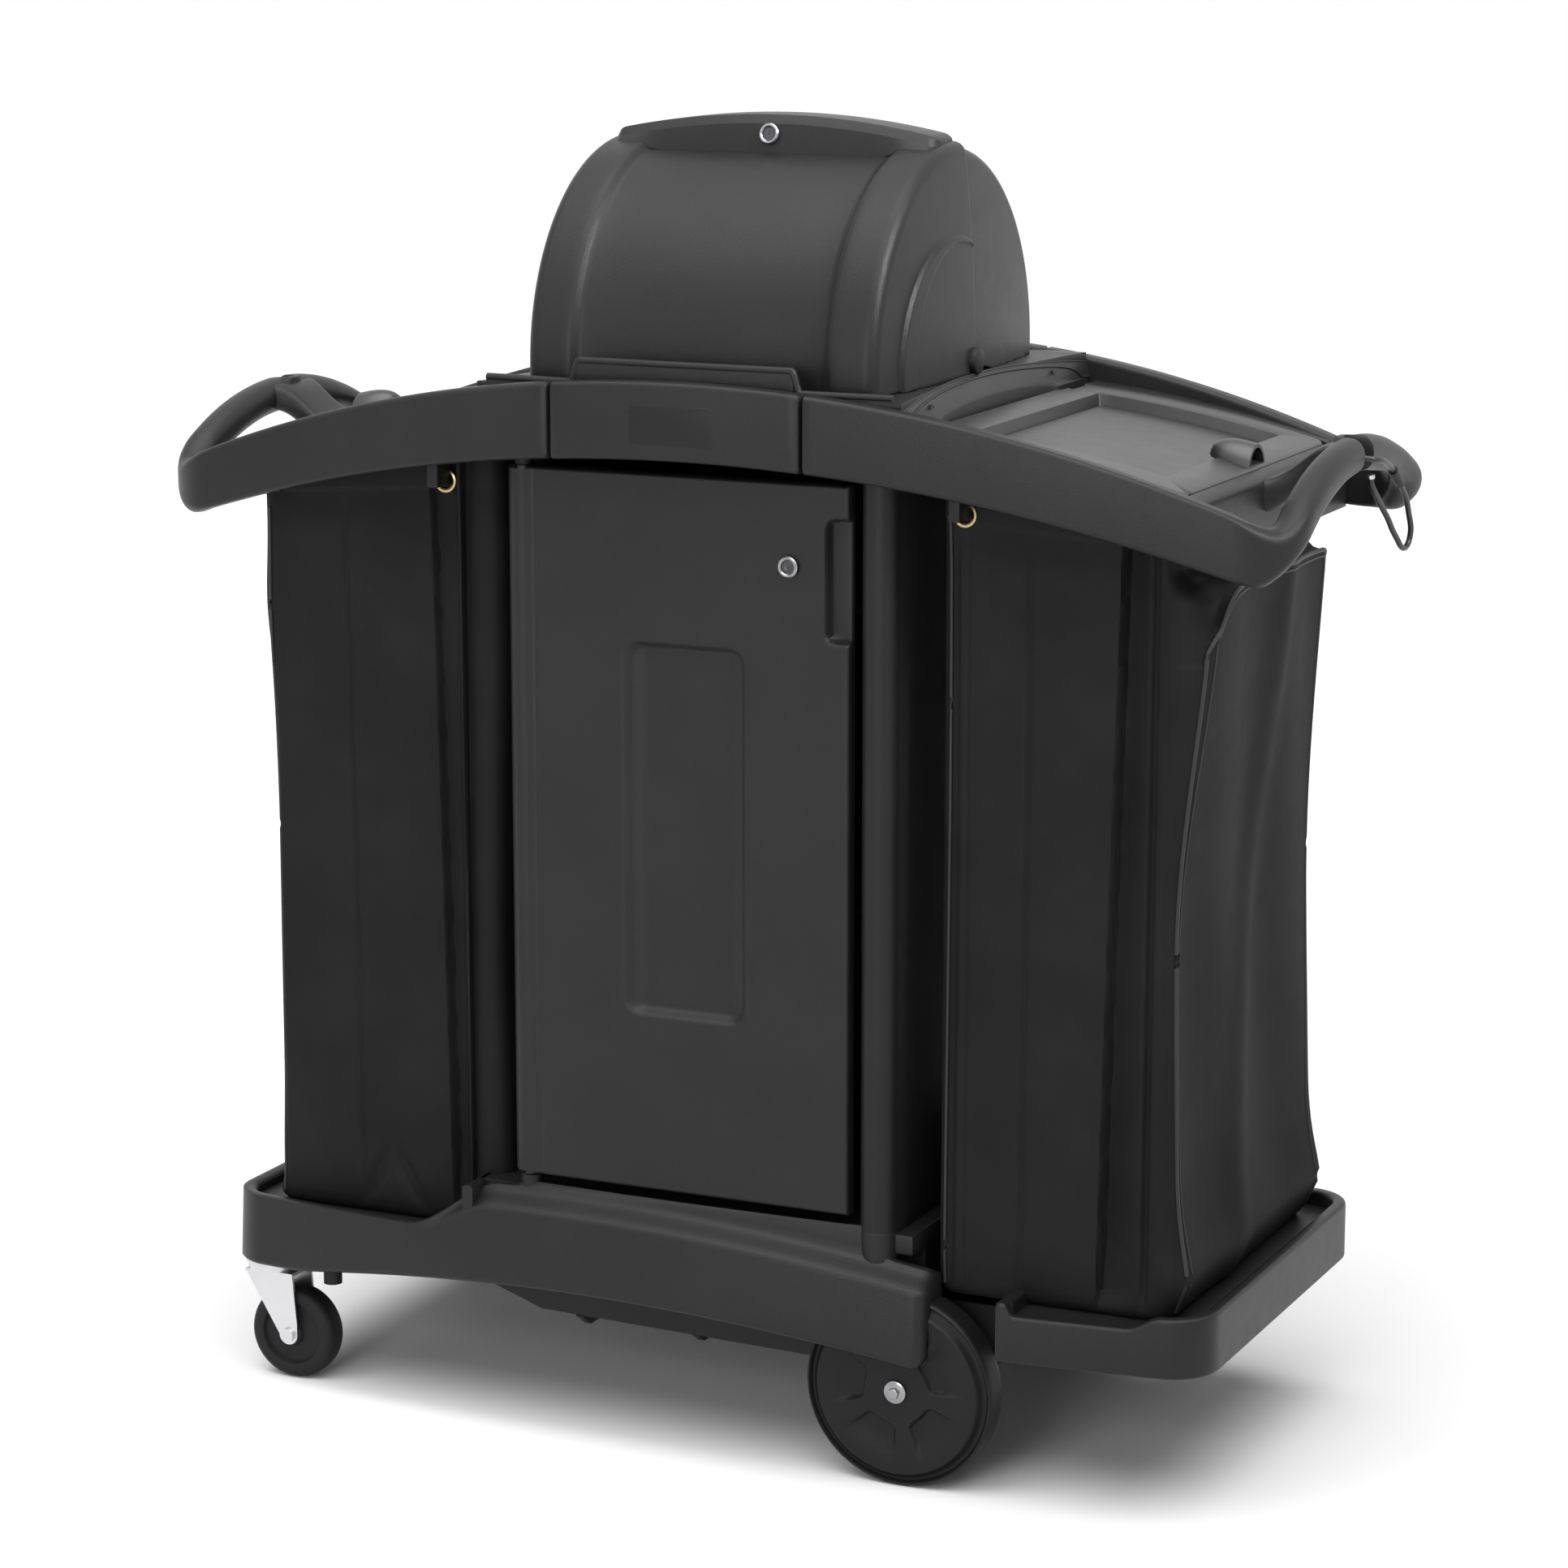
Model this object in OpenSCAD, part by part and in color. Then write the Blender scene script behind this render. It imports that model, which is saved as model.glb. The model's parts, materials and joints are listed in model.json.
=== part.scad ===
// Cleaning cart with a locking cabinet, a locking hood, two fabric bags and lidded end wings.
// X runs along the cart, the door faces -Y, Z is up and the floor is Z = 0.

/* [Overall] */
// Length over the end handles
cart_l = 1250; // [1200:1:1320]
// Width over the rails at mid length
cart_w = 558; // [530:1:600]
// Plan radius of the bowed front and rear
bow_r = 4000; // [3400:50:5200]

/* [Rails] */
// Height of the rail's top edge at mid length
rail_top = 1112; // [1104:1:1130]
// Radius of the rail's arched top edge
rail_top_r = 1600; // [1500:10:1800]
// Height of the rail at mid length
rail_h = 78; // [70:1:86]
// Radius of the rail's arched bottom edge
rail_bot_r = 1850; // [1700:10:2100]
// Thickness of the rail
rail_t = 24; // [18:1:28]
// Radius of the wing tips in plan
tip_r = 70; // [55:1:85]
// Half length of the front fascia
front_seam = 136; // [110:1:160]
// Half length of the rear fascia
rear_seam = 180; // [150:1:200]
// Width of the seams beside the fascias
seam_gap = 3; // [2:0.5:5]

/* [Handles] */
// Height of the handle's top
handle_top = 1060; // [1050:1:1072]
// Radius of the handle's arched top
handle_top_r = 500; // [450:5:560]
// Height of the handle bar at the middle
handle_h = 38; // [32:1:44]
// Radius of the arch under the handle
handle_bot_r = 350; // [320:5:400]
// Width of the bridge between the handle and the lid frame
bridge_w = 70; // [60:1:90]
// Width of the notch in the middle of the handle
notch_w = 26; // [16:1:30]

/* [Lids] */
// Depth of the lid below the rail's top edge
lid_drop = 22; // [16:1:26]
// Thickness of the lid
lid_t = 5; // [4:0.5:7]
// Width of the hand gap between the handle and the lid's frame
hand_gap = 59; // [50:1:66]
// Setback of the lid's edges from the rails' outer faces
lid_in = 71; // [68:1:90]
// Depth of the lid's sunk panel
lid_sink = 6; // [3:0.5:10]
// Margin around the lid's sunk panel
lid_margin = 36; // [24:1:50]
// Diameter of the lid's hinge barrel
lid_barrel_d = 11; // [9:0.5:12]
// Diameter of the lid's hinge pins
lid_pin_d = 5; // [4:0.5:6]

/* [Hood] */
// Half length of the deck under the hood
deck_x = 225; // [220:1:230]
// Height of the deck's top
deck_top = 1100; // [1094:1:1103]
// Thickness of the deck plate
deck_t = 10; // [6:1:14]
// Radius of the front shell's raised borders
hood_r = 222; // [212:1:228]
// Depth of the front shell's sunk panel
hood_sink = 7; // [4:0.5:9]
// Half length of the sunk panel
panel_x = 137; // [110:1:150]
// Half length of the hood at its pivots
hood_x = 205; // [200:1:210]
// Radius of the domed hood sides
dome_r = 1650; // [1200:10:2200]
// Wall of the hood shells
hood_t = 4.5; // [3:0.5:6]
// Gap between the front and the rear shell
hood_gap = 2.5; // [1.5:0.5:4]
// Height of the lock bar's crown above the borders
crown_h = 23; // [20:1:30]
// Radius of the arched crown
crown_r = 1000; // [800:20:1400]
// Diameter of the pivot knobs
knob_d = 28; // [22:1:30]
// Diameter of the pivot pins
pivot_d = 10; // [6:0.5:12]
// Height of the lip in front of the hood
lip_h = 25; // [12:1:32]

/* [Cabinet] */
// Height of the cabinet floor's top
sill_top = 258; // [250:1:264]
// Thickness of the cabinet floor
sill_t = 20; // [14:1:26]
// Diameter of the posts
post_d = 38; // [32:1:42]
// Wall of the posts
post_wall = 3; // [2.5:0.5:5]
// Half distance between the posts along the cart
post_x = 203; // [198:1:204]
// Setback of the posts from the rails' outer faces
post_in = 54; // [53:1:62]
// Setback of the post beside the door's hinge
post_back = 42; // [38:1:60]
// Height of the lower shelf's collars
shelf1_z = 571; // [480:1:640]
// Length of the lower shelf's collars
shelf1_h = 21; // [16:1:40]
// Height of the upper shelf's collars
shelf2_z = 878; // [760:1:900]
// Length of the upper shelf's collars
shelf2_h = 42; // [24:1:50]
// Thickness of the shelf plates
shelf_t = 8; // [5:0.5:12]
// Thickness of the side and rear panels
panel_t = 4; // [3:0.5:6]

/* [Door] */
// Height of the door's lower edge
door_bot = 275; // [270:1:300]
// Height of the door's upper edge
door_top = 1008; // [960:1:1012]
// Right edge of the door
door_right = 175; // [170:1:179]
// Distance of the door's hinge from mid length
hinge_x = 190; // [184:1:196]
// Diameter of the hinge barrel
barrel_d = 32; // [26:1:36]
// Thickness of the door
door_t = 18; // [14:1:22]
// Diameter of the door's pivot pins
door_pin_d = 10; // [8:0.5:14]
// Engagement of the pivot pins
door_pin_l = 30; // [20:1:50]
// Radial clearance of all pins
pin_clear = 0.05; // [0.02:0.01:0.09]
// Length of the lock cams
cam_l = 80; // [76:1:90]

/* [Base] */
// Half length of the base
base_x = 557; // [540:1:570]
// Corner radius of the base
base_r = 50; // [40:1:70]
// Wall of the base rims
rim_t = 14; // [8:1:16]
// Height of the platform floors
floor_top = 198; // [194:1:204]
// Thickness of the platform floors
floor_t = 8; // [5:1:12]
// Height of the platform rims
rim_top = 210; // [206:1:220]
// Lower edge of the platform rims
rim_bot = 139; // [134:1:146]
// Right end of the skirt
skirt_end = 270; // [262:1:290]
// Height of the skirt's crown
skirt_top = 262; // [258:1:268]
// Height of the skirt's lower edge at its crown
skirt_bot = 162; // [150:1:172]
// Left end of the right platform
end_x = 345; // [336:1:360]
// Setback of the tub's sides from the rails' outer faces
tub_in = 84; // [80:1:96]
// Wall of the tub
tub_t = 5; // [4:0.5:8]

/* [Wheels] */
// Diameter of the large wheels
wheel_d = 203.2; // [190:0.1:210]
// Width of the large wheels
wheel_w = 46; // [40:1:50]
// Distance of the axle from mid length
axle_x = 234; // [228:1:240]
// Diameter of the axle
axle_d = 16; // [12:1:20]
// Setback of the large wheels from the rails' outer faces
wheel_in = 24; // [23:0.5:26]
// Diameter of the caster wheels
caster_d = 101.6; // [96:0.1:104]
// Width of the caster wheels
caster_w = 32; // [26:1:36]
// Setback of the caster swivels from the base's end
caster_back = 37; // [27:1:57]
// Setback of the casters from the rails' outer faces
caster_in = 74; // [70:1:88]
// Trail of the caster wheels
caster_trail = 28; // [22:1:34]
// Diameter of the caster axles
caster_axle_d = 8; // [6:0.5:10]
// Thickness of the caster fork's steel
fork_t = 3; // [2:0.5:4]

/* [Bags] */
// Gap between the bags and the cabinet's risers
bag_gap = 1; // [0.5:0.5:6]
// Length of the bags along the cart
bag_l = 254; // [230:1:256]
// Setback of the bags' faces from the rails' outer faces
bag_side = 71; // [64:1:80]
// Wall of the bags
bag_t = 3; // [2:0.5:5]
// Corner radius of the bags
bag_r = 6; // [4:1:40]
// Diameter of the grommets
grommet_d = 26; // [20:1:30]
// Diameter of the hook pins
hook_d = 9; // [6:0.5:12]

/* [Hidden] */
$fn = 96;

plastic = "#2b2b2c";
dark = "#1d1d1e";
fabric = "#161617";
steel = "#c8c9cb";
brass = "#b8955a";

half_l = cart_l / 2;
half_w = cart_w / 2;
post_y = half_w - post_in;
tub_y = half_w - tub_in;
wheel_y = half_w - wheel_in;
caster_y = half_w - caster_in;
caster_x = base_x - caster_back;
bag_y = half_w - bag_side;
lid_w = 2 * (half_w - lid_in);
pivot_h = knob_d / 2 + 1;
rail_bot = rail_top - rail_h;
far = 3000;
skin = 0.2;
wheel_r = wheel_d / 2;
caster_r = caster_d / 2;

function rail_top_at(x) = rail_top - rail_top_r + sqrt(rail_top_r * rail_top_r - x * x);
function rail_bot_at(x) = rail_bot - rail_bot_r + sqrt(rail_bot_r * rail_bot_r - x * x);
function bow_at(x) = half_w - bow_r + sqrt(bow_r * bow_r - x * x);

// Lifts a drawing in X and Z into a slab that spans the width
module across(w) rotate([90, 0, 0]) translate([0, 0, -w / 2]) linear_extrude(w) children();

// Lifts a drawing in Y and Z into a slab from x0 to x1
module along(x0, x1) translate([x0, 0, 0]) rotate([90, 0, 90]) linear_extrude(x1 - x0) children();

// Lifts a plan drawing from z0 to z1
module upward(z0, z1) translate([0, 0, z0]) linear_extrude(z1 - z0) children();

module box(lo, hi) translate(lo) cube(hi - lo);

module rod(from, d, l, axis) {
  turn = axis == "x" ? [0, 90, 0] : axis == "y" ? [-90, 0, 0] : [0, 0, 0];
  translate(from) rotate(turn) cylinder(d = d, h = l);
}

module both_sides() {
  children();
  mirror([0, 1, 0]) children();
}

// Plan outline with bowed sides and rounded corners, drawn in by an inset. The corners stand a little
// proud, so that they cross the sides instead of grazing them.
corner_out = 0.15;
module plan(l, r, inset = 0) {
  cx = l - r;
  cy = bow_r - half_w - sqrt((bow_r - r) * (bow_r - r) - cx * cx) - corner_out;
  edge = cx * (bow_r - inset) / (bow_r - r);
  intersection() {
    translate([0, bow_r - half_w]) circle(bow_r - inset, $fn = 360);
    translate([0, half_w - bow_r]) circle(bow_r - inset, $fn = 360);
    square([2 * edge, 2 * half_w], center = true);
  }
  square([2 * (l - inset), 2 * abs(cy)], center = true);
  for (sx = [-1, 1], sy = [-1, 1]) translate([sx * cx, sy * cy]) circle(r - inset);
}

module plan_ring(l, r, t) difference() {
  plan(l, r);
  plan(l, r, t);
}

// Keeps a side view above the rails' ends
module above_ends() difference() {
  children();
  translate([-far, -2 * far]) square([2 * far, 2 * far + rail_bot - 2 * rail_h]);
}

// Side view of the rail's arched band
module band() above_ends() difference() {
  translate([0, rail_top - rail_top_r]) circle(rail_top_r, $fn = 360);
  translate([0, rail_bot - rail_bot_r]) circle(rail_bot_r, $fn = 360);
}

// Arched sheet that follows the rail's top edge between two drops
module arch_sheet(drop, t) above_ends() difference() {
  translate([0, rail_top - drop - rail_top_r]) circle(rail_top_r, $fn = 360);
  translate([0, rail_top - drop - t - rail_top_r]) circle(rail_top_r, $fn = 360);
}

// Base

module skirt_view() difference() {
  union() {
    translate([-base_x, 0]) square([2 * base_x, rim_top]);
    intersection() {
      translate([0, skirt_top - rail_bot_r]) circle(rail_bot_r, $fn = 360);
      translate([-skirt_start, 0]) square([skirt_start + skirt_end, skirt_top]);
    }
    polygon([
      [-skirt_start - ramp, rim_top - 1],
      [-skirt_start - ramp, rim_top],
      [-skirt_start, skirt_top - skirt_start * skirt_start / 2 / rail_bot_r - 2],
      [-skirt_start + 2, rim_top - 1]
    ]);
  }
  translate([skirt_mid, skirt_bot - skirt_bot_r]) circle(skirt_bot_r, $fn = 360);
  translate([-base_x, 0]) square([base_x + skirt_mid, rim_bot]);
  translate([-base_x, 0]) square([2 * base_x, rim_bot - 30]);
}
skirt_start = 262;
skirt_mid = -100;
skirt_bot_r = 2200;
ramp = 70;
riser_x = 245;
riser_t = 12;

module base_rim() color(plastic) {
  intersection() {
    upward(0, skirt_top) plan_ring(base_x, base_r, rim_t);
    across(cart_w) skirt_view();
    box([-base_x, -half_w, 0], [skirt_end, half_w, skirt_top]);
  }
  intersection() {
    upward(floor_top - floor_t, sill_top) plan(base_x, base_r, rim_t - 1);
    box([-riser_x - riser_t, -half_w, 0], [-riser_x, half_w, skirt_top]);
  }
}
module base_floor() color(plastic) {
  intersection() {
    upward(floor_top - floor_t, floor_top) plan(base_x, base_r, rim_t + skin);
    box([-base_x, -half_w, 0], [-riser_x - riser_t, half_w, skirt_top]);
  }
  intersection() {
    upward(0, floor_top) plan(base_x, base_r, rim_t + skin);
    for (side = [-1, 1])
      rod([-caster_x, side * caster_y, caster_seat], socket_d, floor_top - floor_t - caster_seat, "z");
  }
}
caster_seat = 132;
socket_d = 66;

module end_platform() color(plastic) difference() {
  union() {
    intersection() {
      upward(end_rim_bot, rim_top + 4) plan_ring(base_x, base_r, rim_t);
      box([end_x, -half_w, 0], [base_x, half_w, rail_top]);
    }
    intersection() {
      upward(floor_top - floor_t, floor_top) plan(base_x, base_r, rim_t - 1);
      box([end_x, -half_w, 0], [base_x, half_w, rail_top]);
    }
    intersection() {
      upward(end_rim_bot, floor_top) plan(base_x, base_r, rim_t - 1);
      box([end_x, -half_w, 0], [end_x + rim_t, half_w, rail_top]);
    }
  }
  box([end_x + rim_t, -cart_w, floor_top + 1], [base_x - 1.2 * base_r, cart_w, rail_top]);
}
end_rim_bot = 152;

module tub_view(t) polygon([
  [-riser_x + t, sill_top - sill_t + (t > 0 ? 1 : 0)],
  [-riser_x + t, floor_top - floor_t],
  [-riser_x - prow + t, floor_top - floor_t - 30],
  [-riser_x - prow + t, rim_bot - 3 + t],
  [-riser_x + 47, tub_bot + t],
  [axle_x - well_run, tub_bot - 8 + t],
  [axle_x - well_half, axle_drop + t],
  [axle_x + well_half, axle_drop + t],
  [end_x - t, end_rim_bot + t],
  [end_x - t, floor_top - floor_t - 4 + (t > 0 ? 1 : 0)],
  [post_x + post_d - t, floor_top - floor_t - 4 + (t > 0 ? 1 : 0)],
  [post_x + post_d - t, sill_top - sill_t + (t > 0 ? 1 : 0)]
]);
prow = 23;
tub_bot = 112;
axle_drop = 84;
well_run = 84;
well_half = 44;
rib_xs = [-155, -22];
rib_t = 7;
rib_h = 17;
rib_slope = 22;

module tub_pan() color(dark) difference() {
  across(2 * (tub_y - tub_t)) tub_view(0);
  across(2 * tub_y) tub_view(tub_t);
}
module tub_sides() color(dark) for (side = [-1, 1]) difference() {
  union() {
    translate([0, side * (tub_y - tub_t / 2), 0]) across(tub_t) tub_view(0);
    rod([axle_x, side * (tub_y - tub_t) - (side < 0 ? boss_l : 0), wheel_r], boss_d, boss_l, "y");
  }
  rod([axle_x, -half_w, wheel_r], axle_d + 2 * pin_clear, cart_w, "y");
}
module tub_ribs() color(dark) difference() {
  for (x = rib_xs) along(x - rib_t / 2, x + rib_t / 2) polygon([
    [-tub_y, tub_bot - 2], [-tub_y + rib_slope, tub_bot - rib_h], [tub_y - rib_slope, tub_bot - rib_h],
    [tub_y, tub_bot - 2]
  ]);
  across(2 * tub_y + 2) tub_view(0);
}
boss_d = 34;
boss_l = wheel_y - wheel_w - tub_y + tub_t - 1;

module axle() color(steel) rod([axle_x, -wheel_y + 2, wheel_r], axle_d, 2 * wheel_y - 4, "y");

module axle_bolts() color(steel) both_sides() {
  rod([axle_x, wheel_y - 2, wheel_r], washer_d, washer_t, "y");
  rod([axle_x, wheel_y - 2 + washer_t, wheel_r], washer_d / 2, 5, "y");
}
washer_d = 24;
washer_t = 4;

module dock_pegs() color(dark) both_sides()
  rod([-caster_x + peg_x, caster_y - 5, peg_bot], peg_d, floor_top - floor_t - peg_bot, "z");
peg_x = 70;
peg_bot = 108;
peg_d = 20;

// Cabinet

post_places = [[post_x, -post_y], [-post_x, -post_y + post_back], [post_x, post_y], [-post_x, post_y]];
deck_bot = deck_top - deck_t;

module cabinet_floor() color(plastic) intersection() {
  upward(sill_top - sill_t, sill_top) plan(base_x, base_r, rim_t + skin);
  box([-riser_x, -half_w, 0], [post_x + post_d, half_w, sill_top]);
}

module posts(z0, z1) for (p = post_places) translate([p.x, p.y, z0]) difference() {
  cylinder(d = post_d, h = z1 - z0);
  translate([0, 0, -1]) cylinder(d = post_d - 2 * post_wall, h = z1 - z0 + 2);
}

module posts_lower() color(plastic) posts(sill_top, shelf1_z);
module posts_middle() color(plastic) posts(shelf1_z + shelf1_h, shelf2_z);
module posts_upper() color(plastic) posts(shelf2_z + shelf2_h, deck_bot);

// Shelf plate with a collar at each post, in line with the post lengths above and below
module shelf(z, h) {
  for (i = [1:3]) translate([post_places[i].x, post_places[i].y, z]) cylinder(d = post_d, h = h);
  box([-post_x, -post_y + post_back, z + shelf_up], [post_x, post_y, z + shelf_up + shelf_t]);
}
// Collar of the right front post, with the arm that ties it to the shelf's side
module collar(z, h) {
  translate([post_x, -post_y, z]) cylinder(d = post_d, h = h);
  box([post_x, -post_y, z + shelf_up], [post_x + shelf_arm, -post_y + post_back + arm_lap, z + shelf_up + shelf_t]);
}
shelf_up = 2;
shelf_arm = 8;
arm_lap = 12;
module shelf_lower() color(plastic) shelf(shelf1_z, shelf1_h);
module shelf_upper() color(plastic) shelf(shelf2_z, shelf2_h);
module front_collars() color(plastic) {
  collar(shelf1_z, shelf1_h);
  collar(shelf2_z, shelf2_h);
}

panel_x0 = post_x + post_d / 2 - panel_t;
module left_panel() color(plastic)
  box([-panel_x0 - panel_t, -post_y + post_back + post_d / 2 + skin, sill_top],
    [-panel_x0, post_y - post_d / 2 - skin, deck_bot]);
module right_panel() color(plastic)
  box([panel_x0, -post_y + post_d / 2 + skin, sill_top],
    [panel_x0 + panel_t, post_y - post_d / 2 - skin, deck_bot]);
module rear_panel() color(plastic)
  box([-post_x + post_d / 2 + skin, post_y + post_d / 2 - panel_t, sill_top],
    [post_x - post_d / 2 - skin, post_y + post_d / 2, deck_bot]);

// Door

door_front = -post_y - post_d / 2;
hinge_y = door_front + barrel_d / 2;
lock_x = door_right - 64;
lock_z = door_top - 75;
lock_d = 22;
plug_d = 14;
cam_t = 3;
cam_y = -post_y + post_d / 2 + 2;

module door() color(plastic) difference() {
  union() {
    rod([-hinge_x, hinge_y, door_bot], barrel_d, door_top - door_bot, "z");
    box([-hinge_x, door_front, door_bot], [door_right, door_front + door_t, door_top]);
    rod([lock_x, door_front + door_t, lock_z], lock_d, lock_sleeve, "y");
  }
  for (z = [door_bot - 1, door_top - door_pin_l - 1])
    rod([-hinge_x, hinge_y, z], door_pin_d + 2 * pin_clear, door_pin_l + 2, "z");
  rod([lock_x, door_front - 1, lock_z], plug_d + 2 * pin_clear, door_t + lock_sleeve + 2, "y");
  box([door_right - pull_d, door_front - 1, lock_z - pull_down],
    [door_right + 1, door_front + pull_t, lock_z + pull_up]);
  box([emboss_lo.x, door_front - 1, emboss_lo.y], [emboss_hi.x, door_front + emboss, emboss_hi.y]);
}
lock_sleeve = cam_y - door_front - door_t - 0.5;
pull_d = 25;
pull_t = door_t * 2 / 3;
pull_up = 50;
pull_down = 75;
emboss = 2;
emboss_up = 182;
emboss_down = 159;
emboss_lo = [-76, door_bot + emboss_up];
emboss_hi = [67, door_top - emboss_down];

module door_pins() color(dark) {
  rod([-hinge_x, hinge_y, sill_top], pin_boss_d, door_bot - sill_top - 1, "z");
  rod([-hinge_x, hinge_y, door_bot - 1], door_pin_d, door_pin_l, "z");
  rod([-hinge_x, hinge_y, door_top + 1], pin_boss_d, deck_bot - door_top - 1, "z");
  rod([-hinge_x, hinge_y, door_top + 1 - door_pin_l], door_pin_d, door_pin_l, "z");
}
pin_boss_d = 20;

module door_lock_body() color(steel) difference() {
  rod([lock_x, door_front - 4, lock_z], lock_d, 4, "y");
  rod([lock_x, door_front - 5, lock_z], plug_d + 2 * pin_clear, 6, "y");
}
module door_lock_plug() color(steel) difference() {
  rod([lock_x, door_front - 4.5, lock_z], plug_d, cam_y - door_front + 4.5, "y");
  box([lock_x - 0.8, door_front - 5, lock_z - 4], [lock_x + 0.8, door_front - 2, lock_z + 4]);
}
module door_cam() color(steel)
  box([lock_x - plug_d / 2, cam_y, lock_z - cam_l],
    [lock_x + plug_d / 2, cam_y + cam_t, lock_z + plug_d / 2]);

// Top

module deck() color(plastic) {
  intersection() {
    upward(deck_bot, deck_top) plan(half_l, tip_r, rail_t + skin);
    box([-deck_x, -half_w, 0], [deck_x, half_w, deck_top]);
  }
  intersection() {
    upward(rail_bot + 6, deck_bot + 1) difference() {
      plan(half_l, tip_r, rail_t + skin);
      plan(half_l, tip_r, rail_t + deck_rim_t);
    }
    box([-deck_x, -half_w, 0], [deck_x, half_w, deck_top]);
  }
  translate([0, -bow_at(lip_x + lip_run) + rail_t + lip_t + skin, 0]) rotate([90, 0, 0]) linear_extrude(lip_t) polygon([
    [-lip_x - lip_run, deck_top - 1], [-lip_x, deck_top + lip_h],
    [lip_x, deck_top + lip_h], [lip_x + lip_run, deck_top - 1]
  ]);
}
deck_rim_t = 4;
lip_x = 112;
lip_run = 10;
lip_t = 8;

module fascia(seam) intersection() {
  upward(0, rail_top) plan_ring(half_l, tip_r, rail_t);
  across(cart_w) band();
  box([-seam, -half_w, 0], [seam, 0, rail_top]);
}
module front_fascia() color(plastic) difference() {
  fascia(front_seam);
  badge();
}
module rear_fascia() color(plastic) mirror([0, 1, 0]) fascia(rear_seam);

module badge_plate() color(dark) badge();

// Bare plate let into the fascia, flush with its face
module badge() intersection() {
  upward(rail_bot + 16, rail_top - 18) plan_ring(half_l, tip_r, badge_t);
  box([-badge_l / 2, -half_w, 0], [badge_l / 2, 0, rail_top]);
}
badge_l = 90;
badge_t = 1.5;

bar_t = 34;
bar_x0 = half_l - bar_t;
frame_x1 = bar_x0 - hand_gap;
lid_x0 = deck_x + 21;
lid_x1 = frame_x1 - 18;
lid_l = lid_x1 - lid_x0;
seat_gap = 0.5;
seat_t = 6;
seat_lap = 8;
wall_x = deck_x + 8;
barrel_z = rail_top_at(lid_x0) - lid_drop - lid_barrel_d / 2;
barrel_x = lid_x0 - 3;
barrel_y = lid_w / 2 - 38;
knuckle_w = 14;
knuckle_y = barrel_y + 1 + knuckle_w;

// Right wing: rails, tips, arched handle, bridge and the frame around the lid
module wing() difference() {
  union() {
    intersection() {
      upward(0, rail_top) plan_ring(half_l, tip_r, rail_t);
      across(cart_w) band();
      box([front_seam + seam_gap, -half_w, 0], [half_l, half_w, rail_top]);
    }
    intersection() {
      upward(0, rail_top) plan_ring(half_l, tip_r, half_l - bar_x0);
      across(cart_w) difference() {
        translate([0, -far]) square([2 * far, 2 * far]);
        translate([0, rail_bot - rail_bot_r]) circle(rail_bot_r, $fn = 360);
      }
      along(half_l - tip_r, half_l) translate([0, handle_top - handle_top_r]) circle(handle_top_r, $fn = 360);
    }
    intersection() {
      upward(0, rail_top) difference() {
        plan(half_l, tip_r, rail_t - 1);
        translate([lid_x0 + seat_lap, -lid_w / 2 + 14]) square([lid_l - 2 * seat_lap, lid_w - 28]);
        translate([wall_x, -barrel_y - 0.5]) square([lid_x0 + seat_lap + 1 - wall_x, 2 * barrel_y + 1]);
      }
      across(cart_w) arch_sheet(lid_drop + lid_t + seat_gap, seat_t);
      box([deck_x, -half_w, 0], [frame_x1, half_w, rail_top]);
    }
    intersection() {
      upward(0, rail_top) plan(half_l, tip_r, rail_t - 1);
      across(cart_w) arch_sheet(lid_drop - 4, 40);
      box([lid_x1 + 2, -half_w, 0], [frame_x1, half_w, rail_top]);
    }
    intersection() {
      upward(0, rail_top) plan(half_l, tip_r, rail_t - 1);
      across(cart_w) arch_sheet(lid_drop, 40);
      box([deck_x, -half_w, 0], [wall_x, half_w, rail_top]);
    }
    across(bridge_w) polygon([
      [frame_x1 - 1, rail_top_at(frame_x1) - lid_drop + 4],
      [frame_x1 + 30, rail_top_at(frame_x1) - lid_drop + 16],
      [bar_x0 + 1, handle_top - 3],
      [bar_x0 + 1, handle_top - handle_h],
      [frame_x1 + 30, rail_top_at(frame_x1) - lid_drop - 28],
      [frame_x1 - 1, rail_top_at(frame_x1) - lid_drop - 36]
    ]);
    both_sides() box([deck_x, barrel_y + 1, barrel_z - 16],
      [barrel_x + lid_barrel_d / 2, knuckle_y, barrel_z + lid_barrel_d / 2]);
  }
  box([0, 0, 0], [rear_seam + seam_gap, half_w, rail_top]);
  along(half_l - tip_r, half_l + 1)
    translate([0, handle_top - handle_h - handle_bot_r]) circle(handle_bot_r, $fn = 360);
  box([bar_x0 + 6, -notch_w / 2, 0], [half_l + 1, notch_w / 2, rail_top]);
  rod([barrel_x, -knuckle_y - 1, barrel_z], lid_pin_d + 2 * pin_clear, 2 * knuckle_y + 2, "y");
}
module right_wing() color(plastic) wing();
module left_wing() color(plastic) mirror([1, 0, 0]) wing();

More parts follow.
